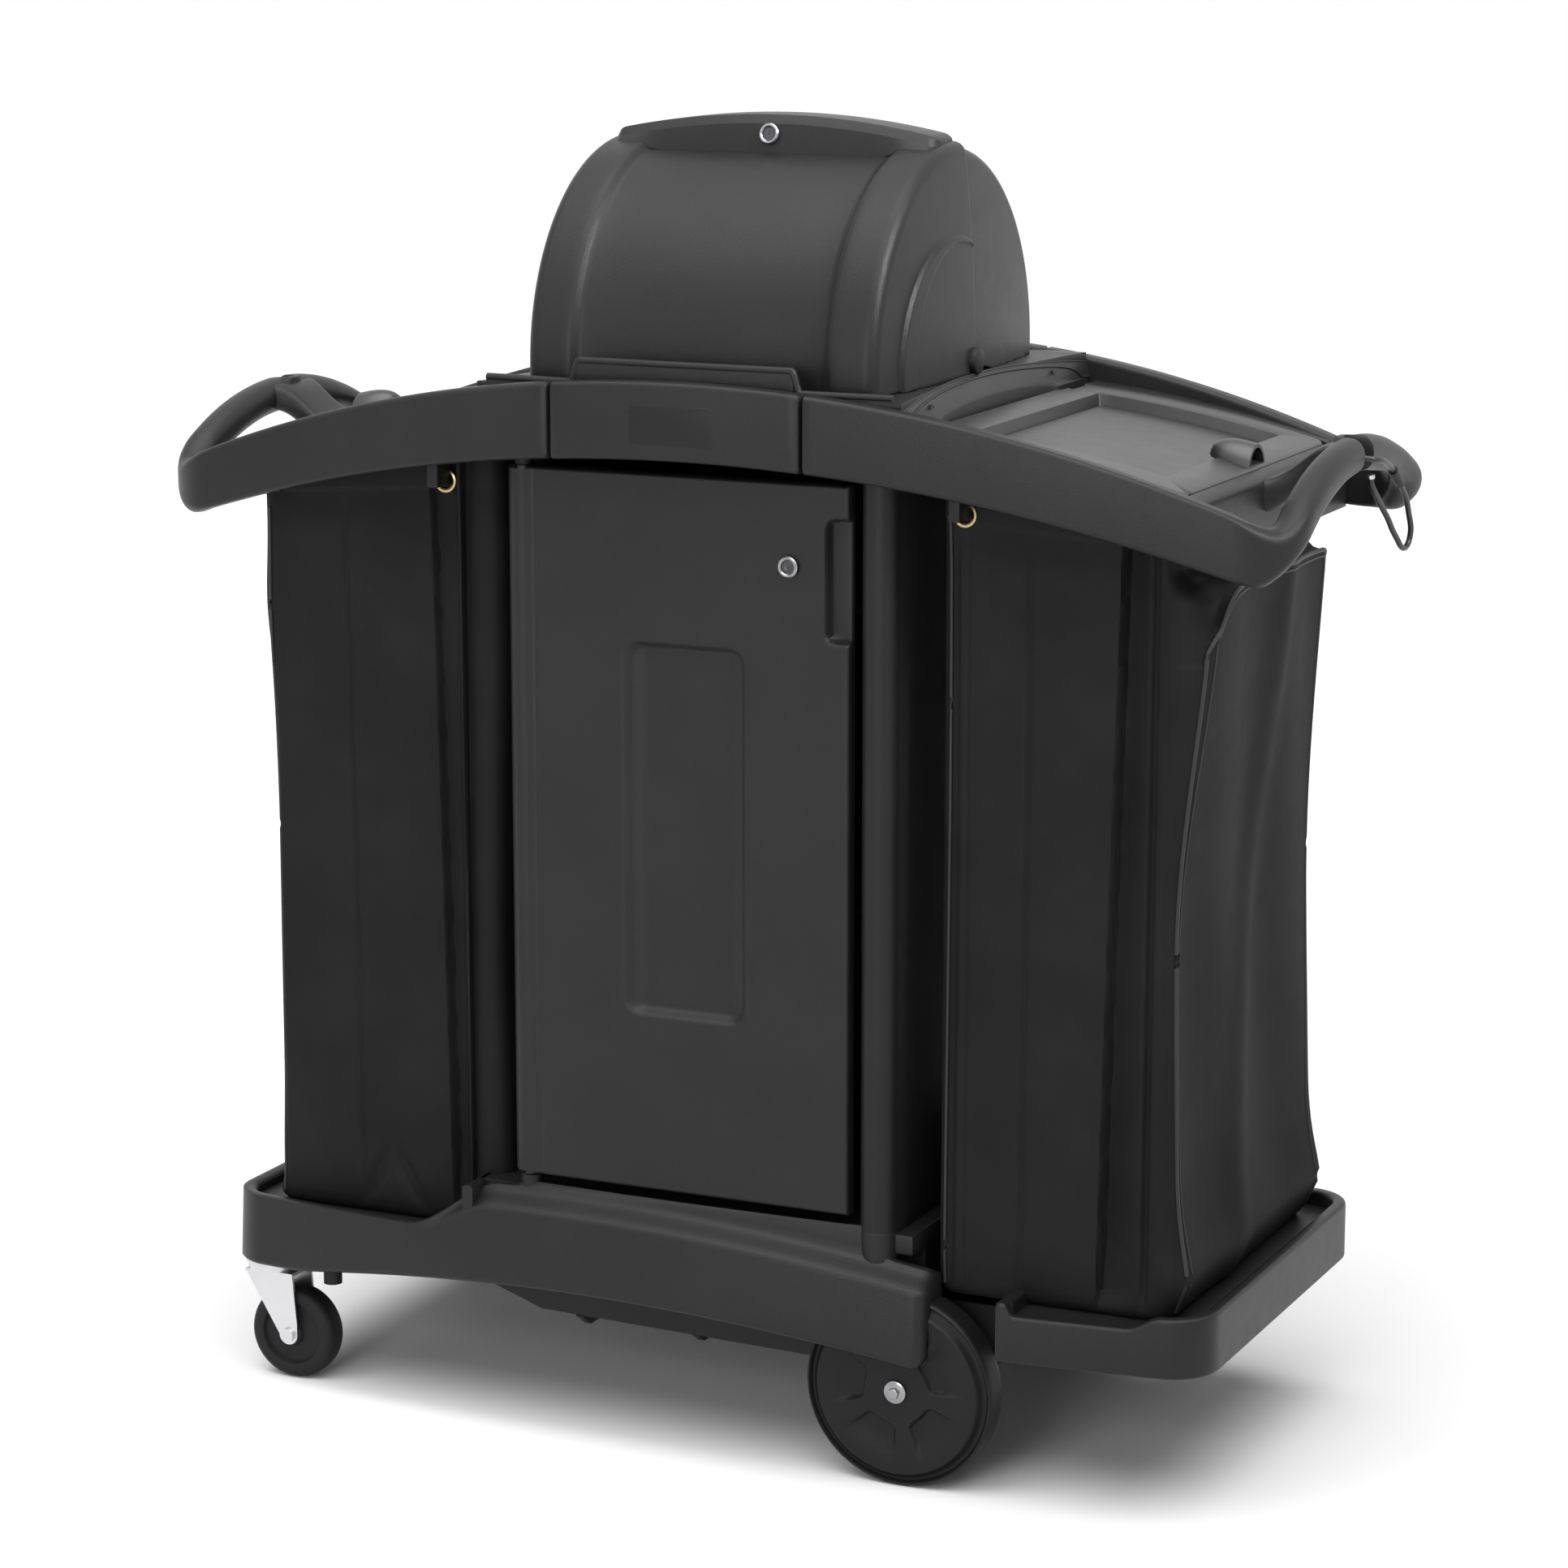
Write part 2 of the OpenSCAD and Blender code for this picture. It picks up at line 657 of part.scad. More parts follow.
// Lid: arched plate with a sunk panel, a finger grip and a hinge barrel
module lid() difference() {
  union() {
    intersection() {
      across(lid_w) arch_sheet(lid_drop, lid_t);
      box([lid_x0, -half_w, 0], [lid_x1, half_w, rail_top]);
    }
    intersection() {
      across(lid_w - 2 * lid_margin + 2 * lid_t) arch_sheet(lid_drop + 1, lid_t + lid_sink - 1);
      box([lid_x0 + lid_margin - lid_t, -half_w, 0], [lid_x1 - lid_margin + lid_t, half_w, rail_top]);
    }
    rod([barrel_x, -barrel_y, barrel_z], lid_barrel_d, 2 * barrel_y, "y");
    difference() {
      rod([lid_x1 - lid_margin, 0, grip_z], grip_d, lid_margin, "x");
      rod([lid_x1 - lid_margin + grip_t, 0, grip_z], grip_d - 2 * grip_t, lid_margin, "x");
      across(lid_w) translate([0, rail_top - lid_drop - lid_t / 2 - rail_top_r])
        circle(rail_top_r, $fn = 360);
    }
  }
  intersection() {
    across(lid_w - 2 * lid_margin) arch_sheet(lid_drop - 10, 10 + lid_sink);
    box([lid_x0 + lid_margin, -half_w, 0], [lid_x1 - lid_margin, half_w, rail_top]);
  }
  rod([barrel_x, -knuckle_y - 1, barrel_z], lid_pin_d + 2 * pin_clear, 2 * knuckle_y + 2, "y");
  both_sides() box([barrel_x - lid_barrel_d, barrel_y, 0],
    [barrel_x + lid_barrel_d, knuckle_y + 1, rail_top]);
}
grip_d = 54;
grip_t = 4;
grip_z = rail_top_at(lid_x1) - lid_drop - 2;
module right_lid() color(plastic) lid();
module left_lid() color(plastic) mirror([1, 0, 0]) lid();

module lid_pins() color(steel) for (end = [0, 1]) mirror([end, 0, 0]) both_sides()
  rod([barrel_x, barrel_y - lid_pin_l, barrel_z], lid_pin_d, lid_pin_l + knuckle_w, "y");
lid_pin_l = 26;

// Hood

pivot_z = deck_top + pivot_h;
hood_bot = deck_top + 0.5;
shell_in = hood_r - hood_sink - hood_t;
rear_r = shell_in - hood_gap;
rear_x = hood_x - hood_t - hood_gap;

// Turns a drawing of radius and X about the hood's axis, from one angle through a sweep
module spin(start, sweep) translate([0, 0, pivot_z]) rotate([90, 0, 90]) rotate([0, 0, start])
  rotate_extrude(angle = sweep, $fn = 180) children();

module dome_half(r, x) intersection() {
  translate([0, -x]) square([r, 2 * x]);
  translate([0, x - dome_r]) circle(dome_r, $fn = 360);
  translate([0, dome_r - x]) circle(dome_r, $fn = 360);
}

module hood_front() color(plastic) difference() {
  union() {
    intersection() {
      spin(88, 100) difference() {
        dome_half(hood_r, hood_x);
        dome_half(shell_in, hood_x - hood_t);
        translate([hood_r - hood_sink, -panel_x]) square([hood_sink + 1, 2 * panel_x]);
      }
      box([-half_l, -half_w, hood_bot], [half_l, half_w, far]);
    }
    for (side = [-1, 1])
      rod([side * (hood_x - hood_t / 2) - hood_t / 2, 0, pivot_z], knob_d + 0.6, hood_t, "x");
    intersection() {
      along(-crown_x, crown_x) difference() {
        translate([0, pivot_z]) polygon([
          bar_foot, bar_brow, [-37, hood_r + crown_h],
          [7, hood_r + crown_h], [7, hood_r - 20]
        ]);
        translate([0, pivot_z]) circle(shell_in + 1);
      }
      across(cart_w) translate([0, pivot_z + hood_r + crown_h - crown_r]) circle(crown_r, $fn = 360);
    }
  }
  box([-pocket_x, -36, pivot_z + hood_r - pocket_sink], [pocket_x, 1, pivot_z + hood_r + crown_h - 5]);
  for (side = [-1, 1])
    rod([side * (hood_x - hood_t / 2) - hood_t, 0, pivot_z], pivot_d + 2 * pin_clear, 2 * hood_t, "x");
  hood_lock_axis() cylinder(d = plug_d + 2 * pin_clear, h = 30, center = true);
}
crown_x = 172;
pocket_x = 40;
pocket_sink = 8.5;
bar_foot = [-52, hood_r - 14];
bar_brow = [-45, hood_r + crown_h - 8];
lock_share = 0.6;
hood_lock_at = bar_foot + lock_share * (bar_brow - bar_foot);
hood_lock_tilt = atan2(bar_brow.x - bar_foot.x, bar_brow.y - bar_foot.y);

// Carries its children to the hood lock, with Z out of the face
module hood_lock_axis() translate([0, hood_lock_at.x, pivot_z + hood_lock_at.y])
  rotate([90 - hood_lock_tilt, 0, 0]) children();

module hood_lock_body() color(steel) hood_lock_axis() difference() {
  cylinder(d = lock_d, h = 5);
  translate([0, 0, -1]) cylinder(d = plug_d + 2 * pin_clear, h = 7);
}
module hood_lock_plug() color(steel) hood_lock_axis() difference() {
  translate([0, 0, -plug_in]) cylinder(d = plug_d, h = plug_in + 5.5);
  translate([-0.8, -4, 3]) cube([1.6, 8, 4]);
}
plug_in = 16;
module hood_cam() color(steel) hood_lock_axis() translate([-hood_cam_w / 2, -hood_cam_w / 2, -plug_in - cam_t])
  cube([hood_cam_l, hood_cam_w, cam_t]);
hood_cam_l = 19;
hood_cam_w = 9;

module hood_rear() color(plastic) difference() {
  intersection() {
    spin(-12, 101) difference() {
      dome_half(rear_r, rear_x);
      dome_half(rear_r - hood_t, rear_x - hood_t);
    }
    box([-half_l, -half_w, deck_top], [half_l, half_w, far]);
  }
  rod([-hood_x, 0, pivot_z], pivot_d + 2 * pin_clear, 2 * hood_x, "x");
}

module hood_pivots() color(dark) for (side = [0, 1]) mirror([side, 0, 0]) {
  rod([hood_x + 0.3, 0, pivot_z], knob_d, 8, "x");
  rod([rear_x - hood_t - 4, 0, pivot_z], pivot_d, hood_x - rear_x + hood_t + 4.4, "x");
  rod([rear_x - hood_t - 7, 0, pivot_z], knob_d - 4, 4, "x");
}

// Bags

bag_in = riser_x + riser_t + bag_gap;
bag_out = bag_in + bag_l;
bag_drop = 6;
function hook_z(x) = rail_bot_at(x) - 20;
hook_xs = [bag_in + 29, bag_out - 28];

module bag_plan(inset) {
  translate([(bag_in + bag_out) / 2, 0]) {
    square([bag_out - bag_in - 2 * bag_r, 2 * bag_y - 2 * inset], center = true);
    square([bag_out - bag_in - 2 * inset, 2 * bag_y - 2 * bag_r], center = true);
    for (sx = [-1, 1], sy = [-1, 1])
      translate([sx * ((bag_out - bag_in) / 2 - bag_r), sy * (bag_y - bag_r)])
        circle(bag_r - inset, $fn = 48);
  }
}

module bag() difference() {
  intersection() {
    upward(floor_top + 0.3, rail_top) bag_plan(0);
    across(cart_w) translate([0, rail_bot - bag_drop - rail_bot_r]) circle(rail_bot_r, $fn = 360);
  }
  upward(floor_top + 0.3 + bag_t, rail_top) bag_plan(bag_t);
  for (x = hook_xs) rod([x, -half_w, hook_z(x)], hook_d + 4, cart_w, "y");
}
module right_bag() color(fabric) bag();
module left_bag() color(fabric) mirror([1, 0, 0]) bag();

module bag_grommets() color(brass) for (end = [0, 1]) mirror([end, 0, 0]) both_sides()
  translate([hook_xs[0], bag_y, hook_z(hook_xs[0])]) rotate([-90, 0, 0]) difference() {
    cylinder(d = grommet_d, h = 2);
    translate([0, 0, -1]) cylinder(d = hook_d + 4, h = 4);
  }

module hook_brackets() color(dark) for (end = [0, 1]) mirror([end, 0, 0]) both_sides() for (x = hook_xs)
  box([x - 6, bag_y + hook_gap, hook_z(x) - 7], [x + 6, bow_at(x + 6) - rail_t - skin, hook_z(x) + 38]);
module hook_pegs() color(dark) for (end = [0, 1]) mirror([end, 0, 0]) both_sides() for (x = hook_xs)
  rod([x, bag_y - hook_in, hook_z(x)], hook_d, hook_in + hook_gap, "y");
hook_gap = 4;
hook_in = 6;

// Wheels and casters

module wheel() rotate([-90, 0, 0]) difference() {
  rotate_extrude() difference() {
    union() {
      translate([0, 6]) square([wheel_r - 8, wheel_w - 14]);
      translate([wheel_r - 22, 0]) square([22, wheel_w]);
      square([22, wheel_w - 4]);
    }
    translate([wheel_r, -1]) rotate([0, 0, 45]) square(5, center = true);
    translate([wheel_r, wheel_w + 1]) rotate([0, 0, 45]) square(5, center = true);
  }
  translate([0, 0, -1]) cylinder(d = axle_d + 2 * pin_clear, h = wheel_w + 2);
  for (i = [0:4]) rotate([0, 0, 72 * i]) translate([wheel_r * 0.52, 0, wheel_w - 11])
    intersection() {
      translate([0, 22, 0]) cylinder(r = 36, h = 10);
      translate([0, -22, 0]) cylinder(r = 36, h = 10);
    }
}
module front_wheel() color(dark) mirror([0, 1, 0]) translate([axle_x, wheel_y - wheel_w, wheel_r]) wheel();
module rear_wheel() color(dark) translate([axle_x, wheel_y - wheel_w, wheel_r]) wheel();

plate_t = 4;
race_d = 56;
race_h = 9;
crown_z = caster_seat - plate_t - race_h;
leg_in = caster_w / 2 + 2;

module caster_plates() color(steel) both_sides() {
  rod([-caster_x, caster_y, caster_seat - plate_t], socket_d - 4, plate_t, "z");
  rod([-caster_x, caster_y, crown_z - fork_t - 4], 12, race_h + fork_t + 4.5, "z");
}

module caster_fork() difference() {
  union() {
    rod([0, 0, crown_z + 0.3], race_d, race_h - 0.6, "z");
    box([-24, -leg_in - fork_t, crown_z - fork_t], [34, leg_in + fork_t, crown_z + 0.4]);
    both_sides() translate([0, leg_in + fork_t, 0]) rotate([90, 0, 0]) linear_extrude(fork_t) {
      polygon([
        [-24, crown_z], [34, crown_z], [caster_trail + 11, caster_r + 12], [caster_trail + 11, caster_r],
        [caster_trail - 11, caster_r]
      ]);
      translate([caster_trail, caster_r]) circle(11);
    }
  }
  rod([0, 0, crown_z - fork_t - 5], 12 + 2 * pin_clear, race_h + fork_t + 6, "z");
  rod([caster_trail, -half_w, caster_r], caster_axle_d, cart_w, "y");
}
module front_caster_fork() color(steel) translate([-caster_x, -caster_y, 0]) caster_fork();
module rear_caster_fork() color(steel) translate([-caster_x, caster_y, 0]) caster_fork();

module caster_axle() {
  rod([caster_trail, -leg_in - fork_t, caster_r], caster_axle_d, 2 * (leg_in + fork_t), "y");
  both_sides() rod([caster_trail, leg_in + fork_t, caster_r], 15, 4, "y");
}
module front_caster_axle() color(steel) translate([-caster_x, -caster_y, 0]) caster_axle();
module rear_caster_axle() color(steel) translate([-caster_x, caster_y, 0]) caster_axle();

module caster_wheel() translate([caster_trail, 0, caster_r]) rotate([90, 0, 0]) difference() {
  rotate_extrude() {
    translate([caster_r - 16, -caster_w / 2]) square([16, caster_w]);
    translate([0, -caster_w / 2 + 5]) square([caster_r - 15, caster_w - 10]);
    translate([0, -caster_w / 2 - 1.5]) square([13, caster_w + 3]);
  }
  cylinder(d = caster_axle_d + 2 * pin_clear, h = caster_w + 8, center = true);
}
module front_caster_wheel() color(dark) translate([-caster_x, -caster_y, 0]) caster_wheel();
module rear_caster_wheel() color(dark) translate([-caster_x, caster_y, 0]) caster_wheel();

// Security loop at the right handle

cable_d = 6;
cable_sides = 10;
upper_route = [
  [597, 0, 1040], [609, 0, 1040], [620, 1, 1039], [628, 5, 1038], [632, 14, 1036], [633, 26, 1033],
  [633, 40, 1028], [633, 54, 1021]
];
lower_route = [
  [633, 78, 1005], [633, 90, 996], [633, 102, 985], [632, 114, 970], [632, 122, 956], [631, 124, 946],
  [630, 120, 938], [629, 112, 935], [628, 103, 938], [627, 94, 946], [625, 83, 957], [624, 70, 970],
  [622, 56, 983], [621, 42, 995], [620, 32, 1004], [619, 27, 1011], [619, 26, 1016]
];

function unit(v) = v / norm(v);
function tangent(p, i) = unit(p[min(i + 1, len(p) - 1)] - p[max(i - 1, 0)]);

// Tube swept along a route, with one ring of corners at each point
module cable(p) {
  side = [1, 0, 0];
  rings = [
    for (i = [0:len(p) - 1])
      let(t = tangent(p, i), u = unit(cross(t, cross(side + [0, 0, 0.3], t))), v = cross(t, u))
        for (k = [0:cable_sides - 1])
          p[i] + cable_d / 2 * (cos(360 * k / cable_sides) * u + sin(360 * k / cable_sides) * v)
  ];
  last = (len(p) - 1) * cable_sides;
  faces = [
    [for (k = [0:cable_sides - 1]) cable_sides - 1 - k],
    for (i = [0:len(p) - 2], k = [0:cable_sides - 1])
      let(a = i * cable_sides + k, b = i * cable_sides + (k + 1) % cable_sides)
        each [[a, b, b + cable_sides], [a, b + cable_sides, a + cable_sides]],
    [for (k = [0:cable_sides - 1]) last + k]
  ];
  polyhedron(rings, faces);
}

module lanyard() color(dark) {
  cable(upper_route);
  cable(lower_route);
}

// Carries its children to a point, with Z along the direction given
module aim(p, v) translate(p) rotate([0, acos(v.z / norm(v)), atan2(v.y, v.x)]) children();

module lanyard_crimp() color(steel) {
  run = lower_route[0] - upper_route[len(upper_route) - 1];
  aim(upper_route[len(upper_route) - 1], run) cylinder(d = cable_d + 4, h = norm(run));
}

module lanyard_ring() color(steel) {
  tail = lower_route[len(lower_route) - 1];
  aim(tail, tail - lower_route[len(lower_route) - 2]) cylinder(d = cable_d + 2, h = 4);
}

base_rim();
base_floor();
end_platform();
tub_pan();
tub_sides();
tub_ribs();
axle();
axle_bolts();
dock_pegs();
cabinet_floor();
posts_lower();
posts_middle();
posts_upper();
shelf_lower();
shelf_upper();
front_collars();
left_panel();
right_panel();
rear_panel();
deck();
left_wing();
right_wing();
front_fascia();
rear_fascia();
badge_plate();
hood_rear();
hood_front();
hood_pivots();
hood_lock_body();
hood_lock_plug();
hood_cam();
door();
door_pins();
door_lock_body();
door_lock_plug();
door_cam();
left_lid();
right_lid();
lid_pins();
hook_brackets();
hook_pegs();
bag_grommets();
left_bag();
right_bag();
front_wheel();
rear_wheel();
caster_plates();
front_caster_fork();
rear_caster_fork();
front_caster_axle();
rear_caster_axle();
front_caster_wheel();
rear_caster_wheel();
lanyard();
lanyard_crimp();
lanyard_ring();
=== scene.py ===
import json
from math import acos, atan2, copysign, cos, exp, hypot, pi, radians, sin, sqrt, tan

import bmesh
import bpy
import numpy as np
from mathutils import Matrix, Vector


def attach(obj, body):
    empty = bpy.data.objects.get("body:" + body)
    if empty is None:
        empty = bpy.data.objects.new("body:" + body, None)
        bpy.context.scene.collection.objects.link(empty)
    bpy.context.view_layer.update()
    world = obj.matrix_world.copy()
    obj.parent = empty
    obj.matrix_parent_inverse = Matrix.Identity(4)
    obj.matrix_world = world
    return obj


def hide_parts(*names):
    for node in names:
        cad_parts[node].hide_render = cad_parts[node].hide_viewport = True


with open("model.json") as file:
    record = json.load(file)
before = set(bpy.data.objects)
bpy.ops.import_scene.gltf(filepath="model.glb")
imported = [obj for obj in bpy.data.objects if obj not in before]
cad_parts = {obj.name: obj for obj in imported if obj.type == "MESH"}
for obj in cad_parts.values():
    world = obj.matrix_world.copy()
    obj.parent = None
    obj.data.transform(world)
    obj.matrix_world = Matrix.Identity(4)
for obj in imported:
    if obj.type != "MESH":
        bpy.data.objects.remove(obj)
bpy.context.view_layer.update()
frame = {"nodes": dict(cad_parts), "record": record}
scene = bpy.context.scene
nodes = frame["nodes"]

# Sizes in metres, as in the part's source

HALF_L, HALF_W, BOW_R = 0.625, 0.279, 4.0
RAIL_TOP, RAIL_TOP_R, RAIL_BOT, RAIL_BOT_R, RAIL_T = 1.112, 1.6, 1.034, 1.85, 0.024
TIP_R, BAR_T = 0.07, 0.034
FRONT_SEAM, REAR_SEAM, SEAM_GAP = 0.136, 0.18, 0.003
HANDLE_TOP, HANDLE_TOP_R, HANDLE_LOW, HANDLE_LOW_R = 1.06, 0.36, 1.024, 0.33
HANDLE_REAR_LIFT = 0.018
NOTCH_W, BRIDGE_W = 0.026, 0.07
LID_X0, LID_X1, LID_LEFT, LID_HALF_W = 0.246, 0.5125, 0.2385, 0.208
LID_DROP, LID_RISE, LID_T, LID_SINK, LID_MARGIN = 0.022, 0.0195, 0.005, 0.012, 0.04
FRAME_X1, DECK_TOP, DECK_BOT = 0.532, 1.1, 1.09
SLOT_X, SLOT_Z, SLOT_FLOOR, SLOT_FLOOR_X = 0.2335, 1.0745, 1.0565, 0.262
CRESCENT_X, CRESCENT_BOW, CRESCENT_Y, CRESCENT_Z = 0.2085, 0.38, 0.152, 1.1025
CRESCENT_FALL, CRESCENT_CROWN = 0.2, 0.003
PIVOT_Z, DOME_R, HOOD_T, HOOD_RIM = 1.115, 1.65, 0.0045, 0.014
HOOD_R, HOOD_X, PANEL_X, HOOD_SINK = 0.222, 0.205, 0.137, 0.007
REAR_R, REAR_X, REAR_PANEL_X, REAR_SINK = 0.2165, 0.198, 0.15, 0.0095
CROWN_H, CROWN_R, CROWN_X, CROWN_ROUND = 0.023, 0.86, 0.179, 0.012
DOOR_FRONT, DOOR_BOT, DOOR_TOP, DOOR_RIGHT, DOOR_T = -0.244, 0.275, 1.016, 0.175, 0.018
HINGE_X, BARREL_R = 0.19, 0.016
LOCK_X, LOCK_Z = 0.111, 0.933
BASE_X, BASE_R, RIM_T, FLOOR_TOP, FLOOR_T, RIM_TOP = 0.557, 0.05, 0.014, 0.198, 0.008, 0.21
SKIRT_END, END_X, END_RIM_BOT, END_RIM_TOP, RIM_BOT, SILL_TOP = 0.27, 0.345, 0.152, 0.214, 0.132, 0.265
CREASE_X, CREASE_Z, CREASE_FALL = -0.135, 0.26, 0.205
SKIRT_ARCH_X, SKIRT_ARCH_Z, SKIRT_ARCH_R = -0.1, 0.162, 2.2
POST_X, POST_Y, POST_R, SILL_Z, PANEL_T = 0.203, 0.225, 0.019, 0.258, 0.004
WHEEL_R, WHEEL_W, AXLE_X, WHEEL_Y = 0.1016, 0.046, 0.234, 0.255
POCKETS, POCKET_START, POCKET_HALF, POCKET_DEPTH = 5, radians(28), 0.46, 0.005
CASTER_R, CASTER_W, CASTER_X, CASTER_Y, CASTER_TRAIL = 0.0508, 0.032, 0.52, 0.205, 0.028
BAG_IN, BAG_OUT, BAG_Y, BAG_R, BAG_H = 0.258, 0.512, 0.214, 0.024, 0.8
HOOK_XS = (0.287, 0.484)
ON_AXIS = 0.0001
ENDS, SIDES = ((-1, "left"), (1, "right")), ((-1, "front"), (1, "rear"))


def clamp(t):
    return min(1.0, max(0.0, t))


def arc_at(x, crest, r):
    """Height at x of an arc of radius r with its crest at x = 0."""
    return crest - r + sqrt(r**2 - x * x)


def rail_top_at(x):
    return arc_at(x, RAIL_TOP, RAIL_TOP_R)


def rail_bot_at(x):
    return arc_at(x, RAIL_BOT, RAIL_BOT_R)


def bow_at(x):
    return arc_at(x, HALF_W, BOW_R)


def rail_inside(x):
    return bow_at(x) - RAIL_T


def lid_top_at(x):
    """Height of the lids and their frame, nearer to the rails' tops at the outer end."""
    return rail_top_at(x) - LID_DROP + LID_RISE * clamp((x - LID_X0) / (LID_X1 - LID_X0))


def ease(a, b, x):
    """Smooth rise from 0 at a to 1 at b."""
    t = clamp((x - a) / (b - a))
    return t * t * (3 - 2 * t)


def fade(a, b, x):
    return 1 - ease(a, b, x)


def soft_max(a, b, k):
    return 0.5 * (a + b + sqrt((a - b) ** 2 + k * k))


def bump_at(x, at, width):
    return exp(-(((x - at) / width) ** 2))


def stations(*bands):
    """All the places in bands of (from, to, count), in order and each one once."""
    return np.unique(np.concatenate([np.linspace(*band) for band in bands]))


# Mesh building

def add(name, data):
    """A new object in the scene."""
    piece = bpy.data.objects.new(name, data)
    scene.collection.objects.link(piece)
    return piece


def build(name, verts, faces, sharp=40):
    mesh = bpy.data.meshes.new(name)
    mesh.from_pydata([tuple(map(float, v)) for v in verts], [], faces)
    bm = bmesh.new()
    bm.from_mesh(mesh)
    bmesh.ops.remove_doubles(bm, verts=bm.verts, dist=1e-6)
    bmesh.ops.recalc_face_normals(bm, faces=bm.faces)
    bm.to_mesh(mesh)
    bm.free()
    mesh.shade_smooth()
    mesh.set_sharp_from_angle(angle=radians(sharp))
    return add(name, mesh)


def strips(rows, columns, wrap):
    """Quads between neighbouring rows of points, each row closed on itself if wrap is true."""
    faces = []
    for i in range(rows - 1):
        for j in range(columns if wrap else columns - 1):
            k = (j + 1) % columns
            faces.append((i * columns + j, i * columns + k, (i + 1) * columns + k, (i + 1) * columns + j))
    return faces


def loft(name, rings, caps=True, wrap=True, sharp=40):
    rings = np.asarray(rings, float)
    rows, columns = rings.shape[:2]
    faces = strips(rows, columns, wrap)
    if caps:
        faces += [tuple(range(columns))[::-1], tuple(range((rows - 1) * columns, rows * columns))]
    return build(name, rings.reshape(-1, 3), faces, sharp)


def rounded_box(d0, d1, z0, z1, r, k=5):
    """Corners of a rounded rectangle, anticlockwise from the lower left, k points to a corner."""
    r = min(r, 0.499 * (d1 - d0), 0.499 * (z1 - z0))
    points = []
    x0, x1, y0, y1 = d0 + r, d1 - r, z0 + r, z1 - r
    for cx, cz, start in ((x0, y0, 180), (x1, y0, 270), (x1, y1, 0), (x0, y1, 90)):
        for a in np.radians(np.linspace(start, start + 90, k)):
            points.append((cx + r * cos(a), cz + r * sin(a)))
    return points


def fillet(corners, r, k=5):
    """A closed outline with each corner rounded to radius r, or to its own radius if r is a list."""
    points = []
    n = len(corners)
    for i in range(n):
        radius = r[i] if hasattr(r, "__len__") else r
        p, a, b = (np.array(corners[j], float) for j in (i, i - 1, (i + 1) % n))
        u, v = (a - p) / np.linalg.norm(a - p), (b - p) / np.linalg.norm(b - p)
        half = 0.5 * acos(max(-1, min(1, u @ v)))
        if radius < 1e-6:
            points.append(tuple(p))
            continue
        if half > 1.56:
            points += [tuple(p + (u if t < 0 else v) * abs(t) * 0.2 * radius) for t in np.linspace(-1, 1, k)]
            continue
        back = radius / tan(half)
        centre = p + (u + v) / np.linalg.norm(u + v) * radius / sin(half)
        s, e = p + u * back - centre, p + v * back - centre
        turn = atan2(s[0] * e[1] - s[1] * e[0], s @ e)
        for t in np.linspace(0, turn, k):
            c, q = cos(t), sin(t)
            points.append(tuple(centre + np.array([c * s[0] - q * s[1], q * s[0] + c * s[1]])))
    return points


def lathe(name, profile, centre, axis, steps=72, shape=None, sharp=35, start=None):
    """A profile of (radius, height) turned about an axis. shape(r, angle) adds to the height."""
    axis = Vector(axis).normalized()
    u = Vector(start) if start else axis.orthogonal().normalized()
    v = axis.cross(u)
    rings = []
    for r, h in profile:
        ring = []
        for i in range(steps):
            a = 2 * pi * i / steps
            lift = h + (shape(r, a) if shape else 0)
            ring.append(tuple(Vector(centre) + axis * lift + (u * cos(a) + v * sin(a)) * max(r, 1e-5)))
        rings.append(ring)
    return loft(name, rings, caps=False, sharp=sharp)


def slab(name, outline, place, depth, r, k=3, sharp=40):
    """An outline lifted by depth through place(u, v, w), with its two rims rounded to r."""
    outline = np.array(outline, float)
    centre = outline.mean(0)
    before, after = np.roll(outline, 1, 0), np.roll(outline, -1, 0)
    along = after - before
    normal = np.stack([along[:, 1], -along[:, 0]], 1)
    normal /= np.linalg.norm(normal, axis=1, keepdims=True) + 1e-12
    if np.sum(normal * (outline - centre)) < 0:
        normal = -normal
    rings = []
    angles = np.radians(np.linspace(0, 90, k + 1))
    for side in (0, 1):
        for a in angles if side == 0 else angles[::-1]:
            inset = r * (1 - sin(a))
            w = r * (1 - cos(a)) if side == 0 else depth - r * (1 - cos(a))
            rings.append([place(p[0], p[1], w) for p in outline - normal * inset])
    return loft(name, rings, sharp=sharp)


def rectangle(x0, x1, y0, y1):
    """Corners, anticlockwise from the lower left."""
    return [(x0, y0), (x1, y0), (x1, y1), (x0, y1)]


def flat(name, outline, z, depth, r=0.001):
    """A level plate on an outline, from z up."""
    return slab(name, outline, lambda u, v, w: (u, v, z + w), depth, r, 2)


def tube(name, points, r, steps=10, caps=True):
    """A round bead of radius r along points."""
    points = np.array(points, float)
    tangents = np.gradient(points, axis=0)
    rings = []
    for p, t in zip(points, tangents):
        t = Vector(t).normalized()
        u = t.cross(Vector((0, 0, 1)))
        u = u.normalized() if u.length > 1e-4 else Vector((1, 0, 0))
        v = t.cross(u)
        rings.append([tuple(Vector(p) + (u * cos(a) + v * sin(a)) * r)
                      for a in np.linspace(0, 2 * pi, steps, endpoint=False)])
    return loft(name, rings, caps=caps, sharp=60)


def mirrored(source, name, axis):
    """A copy of a piece, mirrored in X (0) or Y (1)."""
    mesh = source.data.copy()
    mesh.name = name
    for vertex in mesh.vertices:
        vertex.co[axis] = -vertex.co[axis]
    mesh.flip_normals()
    return add(name, mesh)


def dress(piece, material, body, slot, *stands_for):
    """Give a piece its material and body, and hide the nodes that it replaces, if any. The slot is not used.
    """
    piece.data.materials.clear()
    piece.data.materials.append(material)
    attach(piece, body)
    replaced = [node for node in stands_for if node]
    if replaced:
        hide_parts(*replaced)


